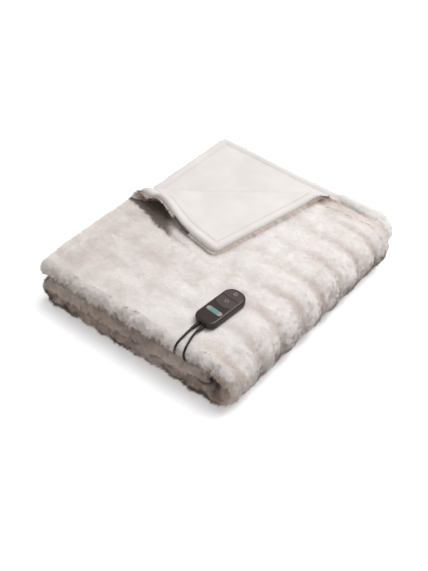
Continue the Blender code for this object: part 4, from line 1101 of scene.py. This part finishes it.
# %% Handset finishes
RAMP_PER_METRE = 40.0  # 25 mm from the window's middle is 1 on its ramp of colour

abs_shell, tree, shader = new_material("moulded_abs", "#271B19", Roughness=0.34, IOR=1.53,
                                       Specular_IOR_Level=0.35)
grain(tree, shader, noise(tree, 1600.0, 1.0), 0.12, 0.0002)

silicone, tree, shader = new_material("silicone_keys", "#3C3231", Roughness=0.5, IOR=1.42)
grain(tree, shader, noise(tree, 1200.0, 1.0), 0.15, 0.0002)

acrylic, tree, shader = new_material("printed_acrylic", "#587F78", Roughness=0.12, IOR=1.49)
place = add_node(tree, "TexCoord")
across = (RAMP_PER_METRE * math.cos(HANDSET_TURN), RAMP_PER_METRE * math.sin(HANDSET_TURN), 0.0)
middle = across[0] * HANDSET_X + across[1] * HANDSET_Y
along_it = add_node(tree, "VectorMath", {0: place.outputs["Object"], 1: across},
                    operation="DOT_PRODUCT")
off = add_node(tree, "Math", {0: along_it.outputs["Value"], 1: middle}, operation="SUBTRACT")
away = add_node(tree, "Math", {0: off.outputs["Value"]}, operation="ABSOLUTE")
field = two_tones(tree, away.outputs["Value"], 0.42, "#587F78", 0.52, "#8A7F7D")
colour_by(tree, shader, field)

nickel = new_material("nickel_plate", "#CFC8BC", Roughness=0.22, Metallic=1.0)[0]
strap = new_material("nylon_strap", "#2B2828", Roughness=0.85)[0]

refinish(abs_shell, "handset_base", "handset_cover")
refinish(acrylic, "display_window")
refinish(silicone, "key_near", "key_far")
refinish(sheath, "relief_blanket", "relief_mains", "lead_gland", "relief_plug", "plug_body")
refinish(nickel, "plug_pin_a", "plug_pin_b")
refinish(strap, "coil_tie")
print("finishes:", [finish.name for finish in (abs_shell, silicone, acrylic, nickel, strap)])

# %% [markdown]
# ## Marks on the keys
# What the keys' pale marks say in the photograph can't be read, so they are plain ones: a power
# mark on the near key and a clock for the timer on the far one. Each is thin strokes of ink,
# 0.8 mm wide, that stand 0.1 mm proud.

# %% Key marks
ink = new_material("printed_ink", "#B8AFAC", Roughness=0.6)[0]
STROKE_RADIUS, STROKE_SUNK = 0.00042, 0.0003


def mark(name, key, place, strokes):
    """A mark as strokes, whose points are given in millimetres from its middle."""
    cos, sin, top = math.cos(HANDSET_TURN), math.sin(HANDSET_TURN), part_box(key)[1][2]
    lines = [[(place[0] + (a * cos - b * sin) / 1000, place[1] + (a * sin + b * cos) / 1000,
               top - STROKE_SUNK) for a, b in stroke] for stroke in strokes]
    return tube(name, lines, STROKE_RADIUS, 2, ink)


def arc(radius, start, stop):
    """An arc about the mark's middle, its angles in degrees."""
    turns = np.radians(np.linspace(start, stop, 25))
    return [(radius * math.cos(a), radius * math.sin(a)) for a in turns]


power_mark = mark("power_mark", "key_near", (0.1404, -0.1775),
                  [arc(4.0, 130, 410), [(0, 1.0), (0, 5.0)]])
clock_mark = mark("clock_mark", "key_far", (0.1424, -0.1490),
                  [arc(4.2, 0, 360), [(0, 2.6), (0, 0), (1.9, -1.1)]])

# %% [markdown]
# ## Who rides on what
# Everything but the keys belongs to the throw's own body, and the marks ride on the keys. The
# CAD sheet and leads are hidden, since the ones built here take their place.

# %% Bodies, sheet and cords
ROOT = "throw"
for piece in (throw, sewing, *pile, blanket_cord, mains_cord):
    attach(piece, ROOT)
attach(power_mark, "near_key")
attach(clock_mark, "far_key")
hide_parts("blanket")
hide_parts("lead_blanket")
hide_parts("lead_mains", "mains_coil", "lead_tail")
print(f"a sheet of {WIDTH} by {LENGTH} m and two cords, with {len(pile)} pieces of pile")
